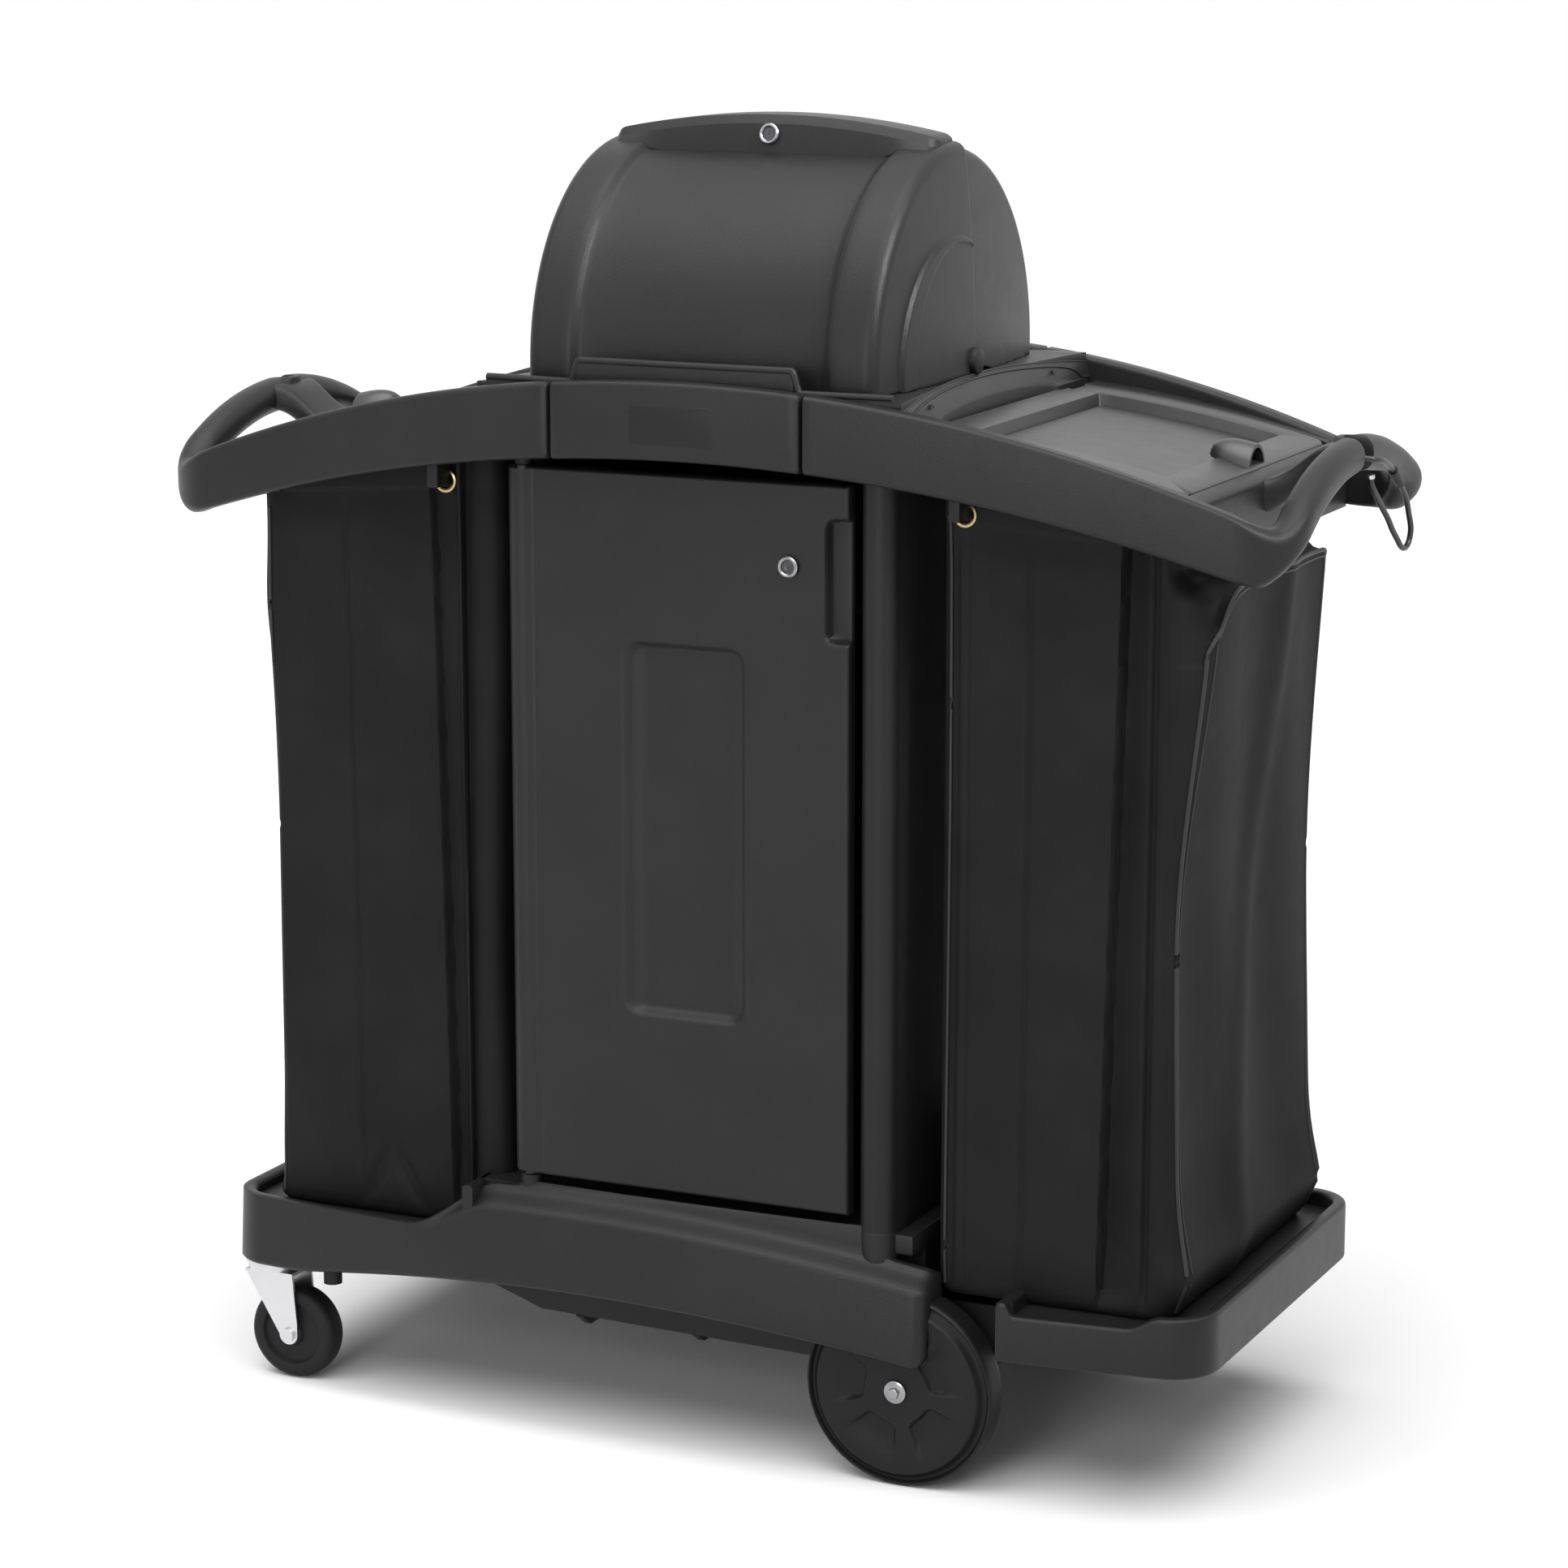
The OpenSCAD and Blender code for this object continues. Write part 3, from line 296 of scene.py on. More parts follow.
def dress_pair(piece, axis, material, bodies, slot, stands_for=None):
    """Dress a piece and its mirror image in X (0) or Y (1)."""
    names = (("right", "left"), ("front", "rear"))[axis]
    twin = mirrored(piece, piece.name.replace(*names), axis)
    dress(piece, material, bodies[0], slot, stands_for)
    dress(twin, material, bodies[1], slot, stands_for and stands_for.replace(*names))


def mould(piece, *stands_for):
    """Dress a fixed piece of the black shell."""
    dress(piece, shell, "chassis", "shell_plastic", *stands_for)


def fit_dark(piece, *stands_for):
    """Dress a fixed piece of the darker frame."""
    dress(piece, shell_dark, "chassis", "frame_plastic", *stands_for)


# Materials

MOTTLE_SCALE, GLOSS_SCALE, GLOSS_RANGE = 9, 45, 0.05


def set_inputs(node, values):
    """Set a shader node's inputs by name."""
    for name, value in values.items():
        node.inputs[name].default_value = value


def textured(name, colour, roughness, grain, depth, mottle=0.1, metallic=0.0, specular=0.5):
    """A node material: mottled colour, uneven gloss and a fine bump, all in object space."""
    material = bpy.data.materials.new(name)
    material.use_nodes = True
    tree = material.node_tree
    shader = tree.nodes["Principled BSDF"]
    set_inputs(shader, {"Metallic": metallic, "Specular IOR Level": specular})
    place = tree.nodes.new("ShaderNodeTexCoord").outputs["Object"]

    def noise(scale, detail):
        node = tree.nodes.new("ShaderNodeTexNoise")
        set_inputs(node, {"Scale": scale, "Detail": detail})
        tree.links.new(place, node.inputs["Vector"])
        return node.outputs["Fac"]

    ramp = tree.nodes.new("ShaderNodeValToRGB")
    for stop, at, level in ((0, 0.35, 1 - mottle), (1, 0.65, 1 + mottle)):
        ramp.color_ramp.elements[stop].position = at
        ramp.color_ramp.elements[stop].color = (*[c * level for c in colour], 1)
    tree.links.new(noise(MOTTLE_SCALE, 4), ramp.inputs["Fac"])
    tree.links.new(ramp.outputs["Color"], shader.inputs["Base Color"])
    gloss = tree.nodes.new("ShaderNodeMapRange")
    set_inputs(gloss, {"To Min": roughness - GLOSS_RANGE, "To Max": roughness + GLOSS_RANGE})
    tree.links.new(noise(GLOSS_SCALE, 3), gloss.inputs["Value"])
    tree.links.new(gloss.outputs["Result"], shader.inputs["Roughness"])
    bump = tree.nodes.new("ShaderNodeBump")
    set_inputs(bump, {"Distance": depth})
    tree.links.new(noise(grain, 5), bump.inputs["Height"])
    tree.links.new(bump.outputs["Normal"], shader.inputs["Normal"])
    return material


shell = textured("moulded_black", (0.0105, 0.0105, 0.0107), 0.38, 900, 0.0003, specular=0.24)
# Lids: the shell's own plastic with its colour painted a little lighter, as painted light on the lids; the
# higher specular is a real gloss
lid_black = textured("lid_black", (0.012, 0.012, 0.0122), 0.36, 900, 0.0002, specular=0.7)
shell_dark = textured("frame_black", (0.008, 0.008, 0.0082), 0.45, 700, 0.0002, specular=0.22)
wheel_black = textured("wheel_black", (0.0065, 0.0065, 0.0067), 0.48, 600, 0.0002, specular=0.2)
tread_black = textured("tread_black", (0.008, 0.008, 0.0082), 0.62, 500, 0.0003, specular=0.22)
zinc = textured("bright_zinc", (0.55, 0.55, 0.56), 0.3, 300, 0.0001, 0.06, 1.0)
chrome = textured("polished_chrome", (0.3, 0.3, 0.31), 0.24, 200, 0.00003, 0.03, 1.0)
gunmetal = textured("lock_plug_steel", (0.07, 0.07, 0.075), 0.3, 200, 0.00003, 0.05, 1.0)
brass = textured("polished_brass", (0.42, 0.33, 0.18), 0.28, 200, 0.00003, 0.06, 1.0)
fabric = textured("coated_fabric", (0.0125, 0.0125, 0.0128), 0.66, 1600, 0.00012, 0.14, specular=0.07)
binding = textured("binding_tape", (0.012, 0.012, 0.0123), 0.55, 1200, 0.0002, 0.1, specular=0.4)
cable_black = textured("cable_coating", (0.012, 0.012, 0.0125), 0.35, 400, 0.0001)

SLOT_MATERIAL = {"shell_plastic": shell, "frame_plastic": shell_dark, "wheel_plastic": wheel_black,
                 "tread": tread_black, "zinc": zinc, "chrome": chrome, "brass": brass, "bag_fabric": fabric,
                 "cable": cable_black}
for row in frame["record"]["subparts"]:
    node = nodes[row["node"]]
    node.data.materials.clear()
    node.data.materials.append(SLOT_MATERIAL[row["material_slot"]])

# Plan outline of the rails and the base

def plan_path(length, r, x_front, x_rear, bow_steps, corner_steps, end_steps):
    """Plan points and outward normals, from the front at x_front round the +X end to the rear at x_rear."""
    cx = length - r
    centre_y = BOW_R - HALF_W
    cy = sqrt((BOW_R - r) ** 2 - cx * cx) - centre_y
    join_x = cx * BOW_R / (BOW_R - r)
    lean = atan2(-cy - centre_y, cx)

    def bow(xs, side):
        return [((x, side * bow_at(x)), (x / BOW_R, side * sqrt(1 - (x / BOW_R) ** 2))) for x in xs]

    def corner(start, stop, side):
        turns = [(cos(a), sin(a)) for a in np.linspace(start, stop, corner_steps)]
        return [((cx + r * c, side * cy + r * s), (c, s)) for c, s in turns]

    path = bow(np.linspace(x_front, join_x, bow_steps)[:-1], -1) + corner(lean, 0, -1)
    path += [((length, y), (1, 0)) for y in np.linspace(-cy, cy, end_steps)[1:-1]]
    path += corner(0, -lean, 1) + bow(np.linspace(join_x, x_rear, bow_steps)[1:], 1)
    points, normals = zip(*path)
    return np.array(points), np.array(normals)


def wall(point, normal, section):
    """A section of (inset, height) stood on the plan at a point."""
    return [(point[0] - normal[0] * d, point[1] - normal[1] * d, z) for d, z in section]


# Wings: one swept ring for the rails, tips and handle

WING_BLEND, WING_EDGE_R, BAR_EDGE_GAIN, WING_CHAMFER = 0.012, 0.006, 0.0095, 0.002
NOTCH_R, NOTCH_BACK = 0.002, 0.007
LID_GAP, SEAT_Y, SEAT_T, LAND_PROUD, LAND_DEPTH = 0.0028, 0.195, 0.012, 0.0006, 0.062


def wing_section(point, e=0.0):
    """Section of the ring at a plan point, drawn in by e."""
    x, y = point
    top = soft_max(rail_top_at(x), arc_at(y, HANDLE_TOP, HANDLE_TOP_R), WING_BLEND)
    low = soft_max(rail_bot_at(x), arc_at(y, HANDLE_LOW, HANDLE_LOW_R), WING_BLEND)
    low += HANDLE_REAR_LIFT * (ease(0.05, 0.2, y) * ease(LID_X1, HALF_L - 0.02, x))
    share = ease(HALF_L - TIP_R, HALF_L - 0.012, x)
    thick = RAIL_T + (BAR_T - RAIL_T) * share
    notched = abs(y) <= NOTCH_W / 2 and x >= HALF_L - 0.001
    near = BAR_T - NOTCH_BACK if notched else 0.0
    r = NOTCH_R if notched else WING_EDGE_R + BAR_EDGE_GAIN * share
    return rounded_box(near + e, thick - e, low + e, top - e, r, 6)


def make_wing():
    points, normals = plan_path(HALF_L, TIP_R, FRONT_SEAM + SEAM_GAP, REAR_SEAM + SEAM_GAP, 46, 20, 60)
    rings = [wall(p, n, wing_section(p)) for p, n in zip(points[1:-1], normals[1:-1])]
    ends = []
    for i, neighbour in ((0, 1), (-1, -2)):
        p, n = points[i], normals[i]
        inward = points[neighbour] - p
        q = p + inward / np.linalg.norm(inward) * WING_CHAMFER
        ends.append([wall(p, n, wing_section(p, WING_CHAMFER)), wall(q, n, wing_section(q))])
    return loft("right_wing_ring", ends[0] + rings + ends[1][::-1], sharp=50)


def make_lid():
    """Arched lid with a sunk panel, from loops of (inset, height). Past trim_y it starts at trim_x."""
    t, r, m, s = LID_T, 0.002, LID_MARGIN, LID_SINK
    profile = [(m - 0.004, -t - s - 0.003), (m - 0.004, -t), (r, -t), (0, -t + r), (0, -r), (r, 0),
               (m - 0.004, 0), (m - 0.002, -0.001), (m + 0.0006, -s - 0.003), (m + 0.0032, -s - 0.003),
               (m + 0.0044, -s)]
    corner, corner_steps, side_steps = 0.012, 6, 14
    trim_y, trim_x, trim_inset = 0.14, LID_X0 + 0.002, 0.004
    centre, half_x = (LID_LEFT + LID_X1) / 2, (LID_X1 - LID_LEFT) / 2
    near_middle, middle_steps = 0.88, 9

    def outline(inset):
        hx, hy = half_x - inset, LID_HALF_W - inset
        bend = max(corner - inset, 0.002)
        points = []
        for sx, sy, start in ((1, 1, 0), (-1, 1, 90), (-1, -1, 180), (1, -1, 270)):
            for a in np.radians(np.linspace(start, start + 90, corner_steps)):
                points.append((sx * (hx - bend) + bend * cos(a), sy * (hy - bend) + bend * sin(a)))
        stop = trim_x - centre + min(inset, trim_inset)
        full = []
        for i, (px, py) in enumerate(points):
            qx, qy = points[(i + 1) % len(points)]
            steps = side_steps if i % corner_steps == corner_steps - 1 else 1
            for share in np.linspace(0, 1, steps, endpoint=False):
                u, v = px + share * (qx - px), py + share * (qy - py)
                full.append((max(u, stop) if abs(v) > trim_y else u, v))
        return full

    def level(inset, lift, share=1.0):
        rim = [(centre + share * u, share * v) for u, v in outline(inset)]
        return [(x, y, lid_top_at(x) + lift) for x, y in rim]

    under = [level(*profile[0], share) for share in np.linspace(0.0, near_middle, middle_steps)]
    over = [level(*profile[-1], share) for share in np.linspace(near_middle, 0.0, middle_steps)]
    return loft("right_lid_plate", under + [level(*loop) for loop in profile] + over, caps=False)


def make_lid_grip():
    """Half dome over the lid's outer edge, open outward."""
    radius, length, thick, sink, power = 0.024, 0.05, 0.0035, 0.003, 2.6
    steps = np.linspace(0, 1, 9)[::-1]
    rings = []
    for skin_r, reach, shares in ((radius, length, steps), (radius - thick, length - thick, 1 - steps)):
        for share in shares:
            x = LID_X1 - sink - share * reach
            r = skin_r * sqrt(max(0.0, 1 - share**power))
            z = lid_top_at(x) - sink
            rings.append([(x, r * cos(a), z + r * sin(a)) for a in np.linspace(0, pi, 25)])
    return loft("right_lid_grip", rings, caps=False, wrap=False, sharp=50)


def make_lid_barrel():
    radius, half = 0.0055, 0.17
    z = rail_top_at(LID_X0) - LID_DROP - radius
    line = [(LID_X0 - 0.003, y, z) for y in np.linspace(-half, half, 12)]
    return tube("right_lid_barrel", line, radius, 16)


def crescent_edge(y):
    return CRESCENT_X + CRESCENT_BOW * y * y


def crescent_top(x, y):
    """Height of the tilted plate beside the hood, with a little crown."""
    t = clamp((x - crescent_edge(y)) / max(SLOT_X - crescent_edge(y), 0.004))
    fall = CRESCENT_FALL * y * y
    return CRESCENT_Z - fall + t * (SLOT_Z - CRESCENT_Z + fall) + CRESCENT_CROWN * sin(pi * t)


def make_crescent():
    """Tilted plate beside the hood, hollowed in front of the lid, and the floor under the lid's hinge."""
    rings = []
    wide = rail_inside(SLOT_X) + 0.002
    under = SLOT_FLOOR - 0.004
    for y in np.linspace(-wide, wide, 81):
        near = crescent_edge(y)
        beyond = ease(CRESCENT_Y - 0.004, CRESCENT_Y + 0.004, abs(y))
        end = SLOT_X + 0.0017 * beyond - 0.0055 * max(0.0, 1 - (y / CRESCENT_Y) ** 2)
        edge_z = crescent_top(near, y)
        ring = [(near, under), (near, edge_z - 0.0015), (near + 0.0008, edge_z)]
        ring += [(x, crescent_top(x, y)) for x in np.linspace(near + 0.002, end - 0.0008, 9)]
        ring += [(end, crescent_top(end, y) - 0.001), (end + 0.0004, SLOT_FLOOR), (SLOT_FLOOR_X, SLOT_FLOOR),
                 (SLOT_FLOOR_X, under)]
        rings.append([(x, y, z) for x, z in ring])
    return loft("right_wing_crescent", rings, sharp=35)


def crescent_bead(name, inset):
    wide = rail_inside(SLOT_X)
    line = []
    for y in np.linspace(-wide, wide, 60):
        x = crescent_edge(y) + inset
        line.append((x, y, crescent_top(x, y)))
    return tube(name, line, 0.0014, 8)


def make_wing_seat(side, side_name):
    """Ledge beside the lid, and the strip between the lid's gap and the rail."""
    gap_y, bevel = LID_HALF_W + LID_GAP, 0.0012
    rings = []
    for x in np.linspace(LID_X0 - 0.001, LID_X1 + 0.002, 24):
        edge = rail_inside(x) + 0.001
        flush, ledge = lid_top_at(x) - 0.0004, lid_top_at(x) - LID_T - 0.0008
        section = [(SEAT_Y, ledge), (gap_y, ledge), (gap_y, flush - bevel), (gap_y + bevel, flush),
                   (edge, flush), (edge, ledge - SEAT_T), (SEAT_Y, ledge - SEAT_T)]
        rings.append([(x, side * y, z) for y, z in section])
    return loft("right_wing_seat_" + side_name, rings, sharp=30)


def make_wing_land():
    """Strip between the lid and the handle, rounded down at its outer edge."""
    near = LID_X1 + 0.0035
    profile = ((near, 0.004), (LID_X1 + 0.0045, 0.0), (FRAME_X1 - 0.005, 0.0), (FRAME_X1 - 0.001, 0.004),
               (FRAME_X1, 0.008), (FRAME_X1, LAND_DEPTH), (near, LAND_DEPTH))
    rings = []
    for share in np.linspace(-1, 1, 31):
        rings.append([(x, (rail_inside(x) + 0.002) * share, lid_top_at(x) + LAND_PROUD - low)
                      for x, low in profile])
    return loft("right_wing_land", rings, sharp=50)


def make_wing_screw(side, side_name):
    head = [(ON_AXIS, 0.0012), (0.0016, 0.0014), (0.0017, 0.003), (0.0036, 0.0026), (0.0042, 0.0)]
    x, y = SLOT_X - 0.006, side * (CRESCENT_Y + 0.012)
    return lathe("right_wing_screw_" + side_name, head, (x, y, crescent_top(x, y)), (0, 0, 1), 24)


def make_deck():
    """Deck under the hood, between the rails and up to the tilted plates."""
    gap, steps = 0.0005, 41
    wide = rail_inside(crescent_edge(0.23)) - gap
    right = [(crescent_edge(wide * t) + 0.0004, wide * t) for t in np.linspace(-1, 1, steps)]
    across = right[-1][0]
    rear = [(x, rail_inside(x) - gap) for x in np.linspace(across, -across, steps)[1:-1]]
    outline = right + rear
    outline += [(-x, -y) for x, y in outline]
    return flat("deck_plate", outline, DECK_BOT, DECK_TOP - DECK_BOT, 0.0006)


def make_bridge():
    """Web from the lid's frame up to the middle of the handle."""
    x0, x1 = FRAME_X1 - 0.003, HALF_L - BAR_T + 0.006
    z0 = lid_top_at(FRAME_X1) + LAND_PROUD
    top0, low0 = z0 - 0.001, z0 - 0.034
    rings = []
    for t in np.linspace(0, 1, 18):
        rise = ease(0, 1, t)
        top = top0 + (HANDLE_TOP - 0.004 - z0) * rise
        low = low0 + (HANDLE_LOW + 0.003 - low0) * rise
        flare = 1.25 - 0.25 * sin(pi * t) if t < 0.5 else 1 + 0.28 * (t - 0.5) ** 2 * 4
        half = BRIDGE_W / 2 * flare
        rings.append([(x0 + t * (x1 - x0), y, z) for y, z in rounded_box(-half, half, low, top, 0.01, 5)])
    return loft("right_wing_bridge", rings, sharp=50)


mould(make_deck(), "deck")
wing_ring = make_wing()
wing_pieces = [wing_ring, make_bridge(), *[make_wing_seat(*side) for side in SIDES], make_wing_land(),
               make_crescent(), crescent_bead("right_wing_bead_inner", 0.0),
               crescent_bead("right_wing_bead_outer", 0.0045), *[make_wing_screw(*side) for side in SIDES]]
for piece in wing_pieces:
    dress_pair(piece, 0, shell, ("chassis", "chassis"), "shell_plastic", piece is wing_ring and "right_wing")
lid = make_lid()
for piece in (lid, make_lid_grip(), make_lid_barrel()):
    dress_pair(piece, 0, lid_black, ("lid_right", "lid_left"), "shell_plastic", piece is lid and "right_lid")

# Fascias between the wings

def make_fascia(name, half, side):
    chamfer = 0.002
    line = [(x, 0.0) for x in np.linspace(-half + 0.012, half - 0.012, 25)]
    rings = []
    for x, e in [(-half, chamfer), (-half + chamfer, 0.0), *line, (half - chamfer, 0.0), (half, chamfer)]:
        section = rounded_box(e, RAIL_T - e, rail_bot_at(x) + e, rail_top_at(x) - e, 0.005, 5)
        rings.append([(x, side * (bow_at(x) - d), z) for d, z in section])
    return loft(name, rings, sharp=50)


mould(make_fascia("front_fascia_shell", FRONT_SEAM, -1), "front_fascia")
mould(make_fascia("rear_fascia_shell", REAR_SEAM, 1), "rear_fascia")


def make_tongue(name, x, side):
    """Backing behind the seam between a fascia and a wing."""
    half, margin, depth = 0.014, 0.004, 0.008
    low, high = rail_bot_at(x) + margin, rail_top_at(x) - margin
    back = side * rail_inside(x)
    outline = rectangle(x - half, x + half, low, high)
    return slab(name, outline, lambda u, v, w: (u, back + side * (depth / 2 - w), v), depth, 0.001, 2)


for end, end_name in ENDS:
    for (side, side_name), seam_x in zip(SIDES, (FRONT_SEAM, REAR_SEAM)):
        fit_dark(make_tongue(f"{side_name}_tongue_{end_name}", end * (seam_x + SEAM_GAP / 2), side))


def make_badge():
    """Bare plate on the front fascia, barely raised."""
    half, low, high, depth, sink = 0.047, 1.05, 1.09, 0.0023, 0.002
    outline = fillet(rectangle(-half, half, low, high), 0.007, 6)

    def place(u, v, w):
        return (u, -bow_at(u) + sink - w, v + rail_top_at(u) - RAIL_TOP)

    return slab("badge_plate_bare", outline, place, depth, 0.001)


fit_dark(make_badge(), "badge_plate")

# Hood

def hood_profile(radius, half, panel_x, sink):
    """Half profile of (radius, X) from the pivot to the middle, with a rounded rim and a sunk panel."""
    rim = HOOD_RIM
    shoulder = radius - rim
    points = [(r, arc_at(r, half, DOME_R)) for r in np.linspace(0.01, shoulder, 130)]
    edge_x = arc_at(shoulder, half, DOME_R)
    slope = atan2(shoulder, sqrt(DOME_R**2 - shoulder**2))
    for a in np.linspace(slope, pi / 2, 9)[1:]:
        points.append((shoulder + rim * sin(a) - rim * sin(slope),
                       edge_x - rim * cos(slope) + rim * cos(a)))
    top = points[-1][0]
    step = ((0.0, 0.016), (0.0004, 0.009), (-0.0004, 0.0052), (-0.002, 0.003), (0.0022 - sink, -0.0006),
            (0.0005 - sink, -0.0026), (-sink, -0.0065))
    points += [(top + fall, panel_x + run) for fall, run in step]
    return points + [(top - sink, x) for x in np.linspace(panel_x - 0.03, 0, 8)]


def turned(name, profile, start, stop, steps, floor_z, mark=None):
    """A profile and its mirror image turned about the hood's axis, cut off at floor_z and given a wall."""
    mark_r = 0.19
    full = profile + [(r, -x) for r, x in profile[::-1][1:]]
    rings = []
    for a in np.radians(np.linspace(start, stop, steps)):
        ring = []
        for r, x in full:
            y, z = r * cos(a), PIVOT_Z + r * sin(a)
            if mark and r < mark_r:
                x = x + copysign(mark(y, z), x)
            ring.append((x, y, z))
        rings.append(ring)
    piece = loft(name, rings, caps=False, wrap=False, sharp=60)
    bm = bmesh.new()
    bm.from_mesh(piece.data)
    bmesh.ops.bisect_plane(bm, geom=bm.verts[:] + bm.edges[:] + bm.faces[:], plane_co=(0, 0, floor_z),
                           plane_no=(0, 0, -1), clear_outer=True)
    bm.to_mesh(piece.data)
    bm.free()
    wall_maker = piece.modifiers.new("wall", "SOLIDIFY")
    wall_maker.thickness = HOOD_T
    wall_maker.offset = -1
    return piece


ARCH_Y, ARCH_Z, ARCH_R, ARCH_DEPTH = -0.04, 1.115, 0.128, 0.0042
DISC_Y, DISC_HALF, DISC_H, DISC_RISE = -0.03, 0.109, 0.122, 0.003
ARCH_EDGE = 0.0016


def arch_mark(y, z):
    """Arched band pressed into the hood's domed side, shallower towards the rear."""
    def within(d):
        return fade(-ARCH_EDGE, ARCH_EDGE, d)

    outer = hypot(y - ARCH_Y, z - ARCH_Z) - ARCH_R
    inner = (hypot((y - DISC_Y) / DISC_HALF, (z - ARCH_Z) / DISC_H) - 1) * DISC_HALF
    front = 1 - 0.6 * ease(-0.03, 0.05, y)
    return front * (DISC_RISE * within(inner) - ARCH_DEPTH * within(outer))


front_profile = hood_profile(HOOD_R, HOOD_X, PANEL_X, HOOD_SINK)
front_hood = turned("hood_front_shell", front_profile, 88, 270, 200, DECK_TOP + 0.0005, arch_mark)
dress(front_hood, shell, "hood_shell", "shell_plastic", "hood_front")
rear_profile = hood_profile(REAR_R, REAR_X, REAR_PANEL_X, REAR_SINK)
mould(turned("hood_rear_shell", rear_profile, -12, 89, 70, DECK_TOP), "hood_rear")


def make_crown():
    """Lock bar across the top of the front shell, rounded down into the borders at its ends."""
    front_y, slope_y, ridge_y, back_y = -0.052, -0.045, -0.038, 0.007
    tip = CROWN_X - CROWN_ROUND
    rings = []
    for x in stations((-CROWN_X, CROWN_X, 41), (-tip, -CROWN_X, 9), (tip, CROWN_X, 9)):
        past = max(0.0, abs(x) - CROWN_X + CROWN_ROUND) / CROWN_ROUND
        e = CROWN_ROUND * (1 - sqrt(max(0.0, 1 - past * past)))
        inner = HOOD_R - 0.002 - HOOD_SINK * fade(PANEL_X - 0.006, PANEL_X + 0.005, abs(x))
        front, back = front_y + e, back_y - 0.3 * e
        low, rear_low = (sqrt(inner**2 - y * y) for y in (front, back))
        top = max(arc_at(x, HOOD_R + CROWN_H, CROWN_R) - 0.5 * e, low + 0.005, rear_low + 0.001)
        corners = [(front, low), (slope_y + e, max(top - 0.009, low + 0.002)), (ridge_y + e, top),
                   (back, top), (back, rear_low)]
        outline = fillet(corners, [0.0003, 0.0015, 0.003, 0.0008, 0.0001], 5)
        rings.append([(x, y, PIVOT_Z + z) for y, z in outline])
    return loft("hood_crown", rings, sharp=50)


dress(make_crown(), shell, "hood_shell", "shell_plastic")

HOOD_LOCK, HOOD_LOCK_AXIS = (0, -0.0478, 1.3404), (0, -0.97208, 0.23464)
BEZEL = [(0.0071, 0.0005), (0.0071, 0.0036), (0.0082, 0.0046), (0.0096, 0.0046), (0.0108, 0.0034),
         (0.011, 0.0)]
PLUG = [(0.0005, 0.002), (0.003, 0.0022), (0.0055, 0.003), (0.0069, 0.0026), (0.0069, -0.01)]
for lock, centre, axis, body, key in (
        ("door_lock", (LOCK_X, DOOR_FRONT, LOCK_Z), (0, -1, 0), "door_leaf", "door_key"),
        ("hood_lock", HOOD_LOCK, HOOD_LOCK_AXIS, "hood_shell", "hood_key")):
    dress(lathe(lock + "_bezel", BEZEL, centre, axis, 48), chrome, body, "chrome", lock + "_body")
    dress(lathe(lock + "_plug", PLUG, centre, axis, 40), gunmetal, key, "chrome", lock + "_plug")

KNOB = [(ON_AXIS, 0.008), (0.009, 0.008), (0.0128, 0.0066), (0.014, 0.004), (0.014, 0.0)]
for end, end_name in ENDS:
    knob = lathe("hood_knob_" + end_name, KNOB, (end * (HOOD_X + 0.0003), 0, PIVOT_Z), (end, 0, 0), 48)
    fit_dark(knob, end > 0 and "hood_pivots")


def make_lip():
    """Lip along the deck's front, raised in the middle, with a bead on its top edge."""
    half, thick, rise, raised_x = 0.222, 0.005, 0.022, (0.11, 0.13)
    rings, bead = [], []
    for x in stations((-half, half, 30), (*raised_x, 21), (-raised_x[0], -raised_x[1], 21)):
        y = -(rail_inside(x) - 0.0015)
        top = DECK_TOP + 0.004 + rise * fade(0.116, 0.125, abs(x))
        rings.append([(x, y + d, z) for d, z in rounded_box(0, thick, DECK_TOP - 0.004, top, 0.0015, 3)])
        bead.append((x, y + 0.0035, top))
    return loft("deck_lip", rings, sharp=50), tube("deck_lip_bead", bead, 0.0042, 10)


for piece in make_lip():
    mould(piece)

# Door

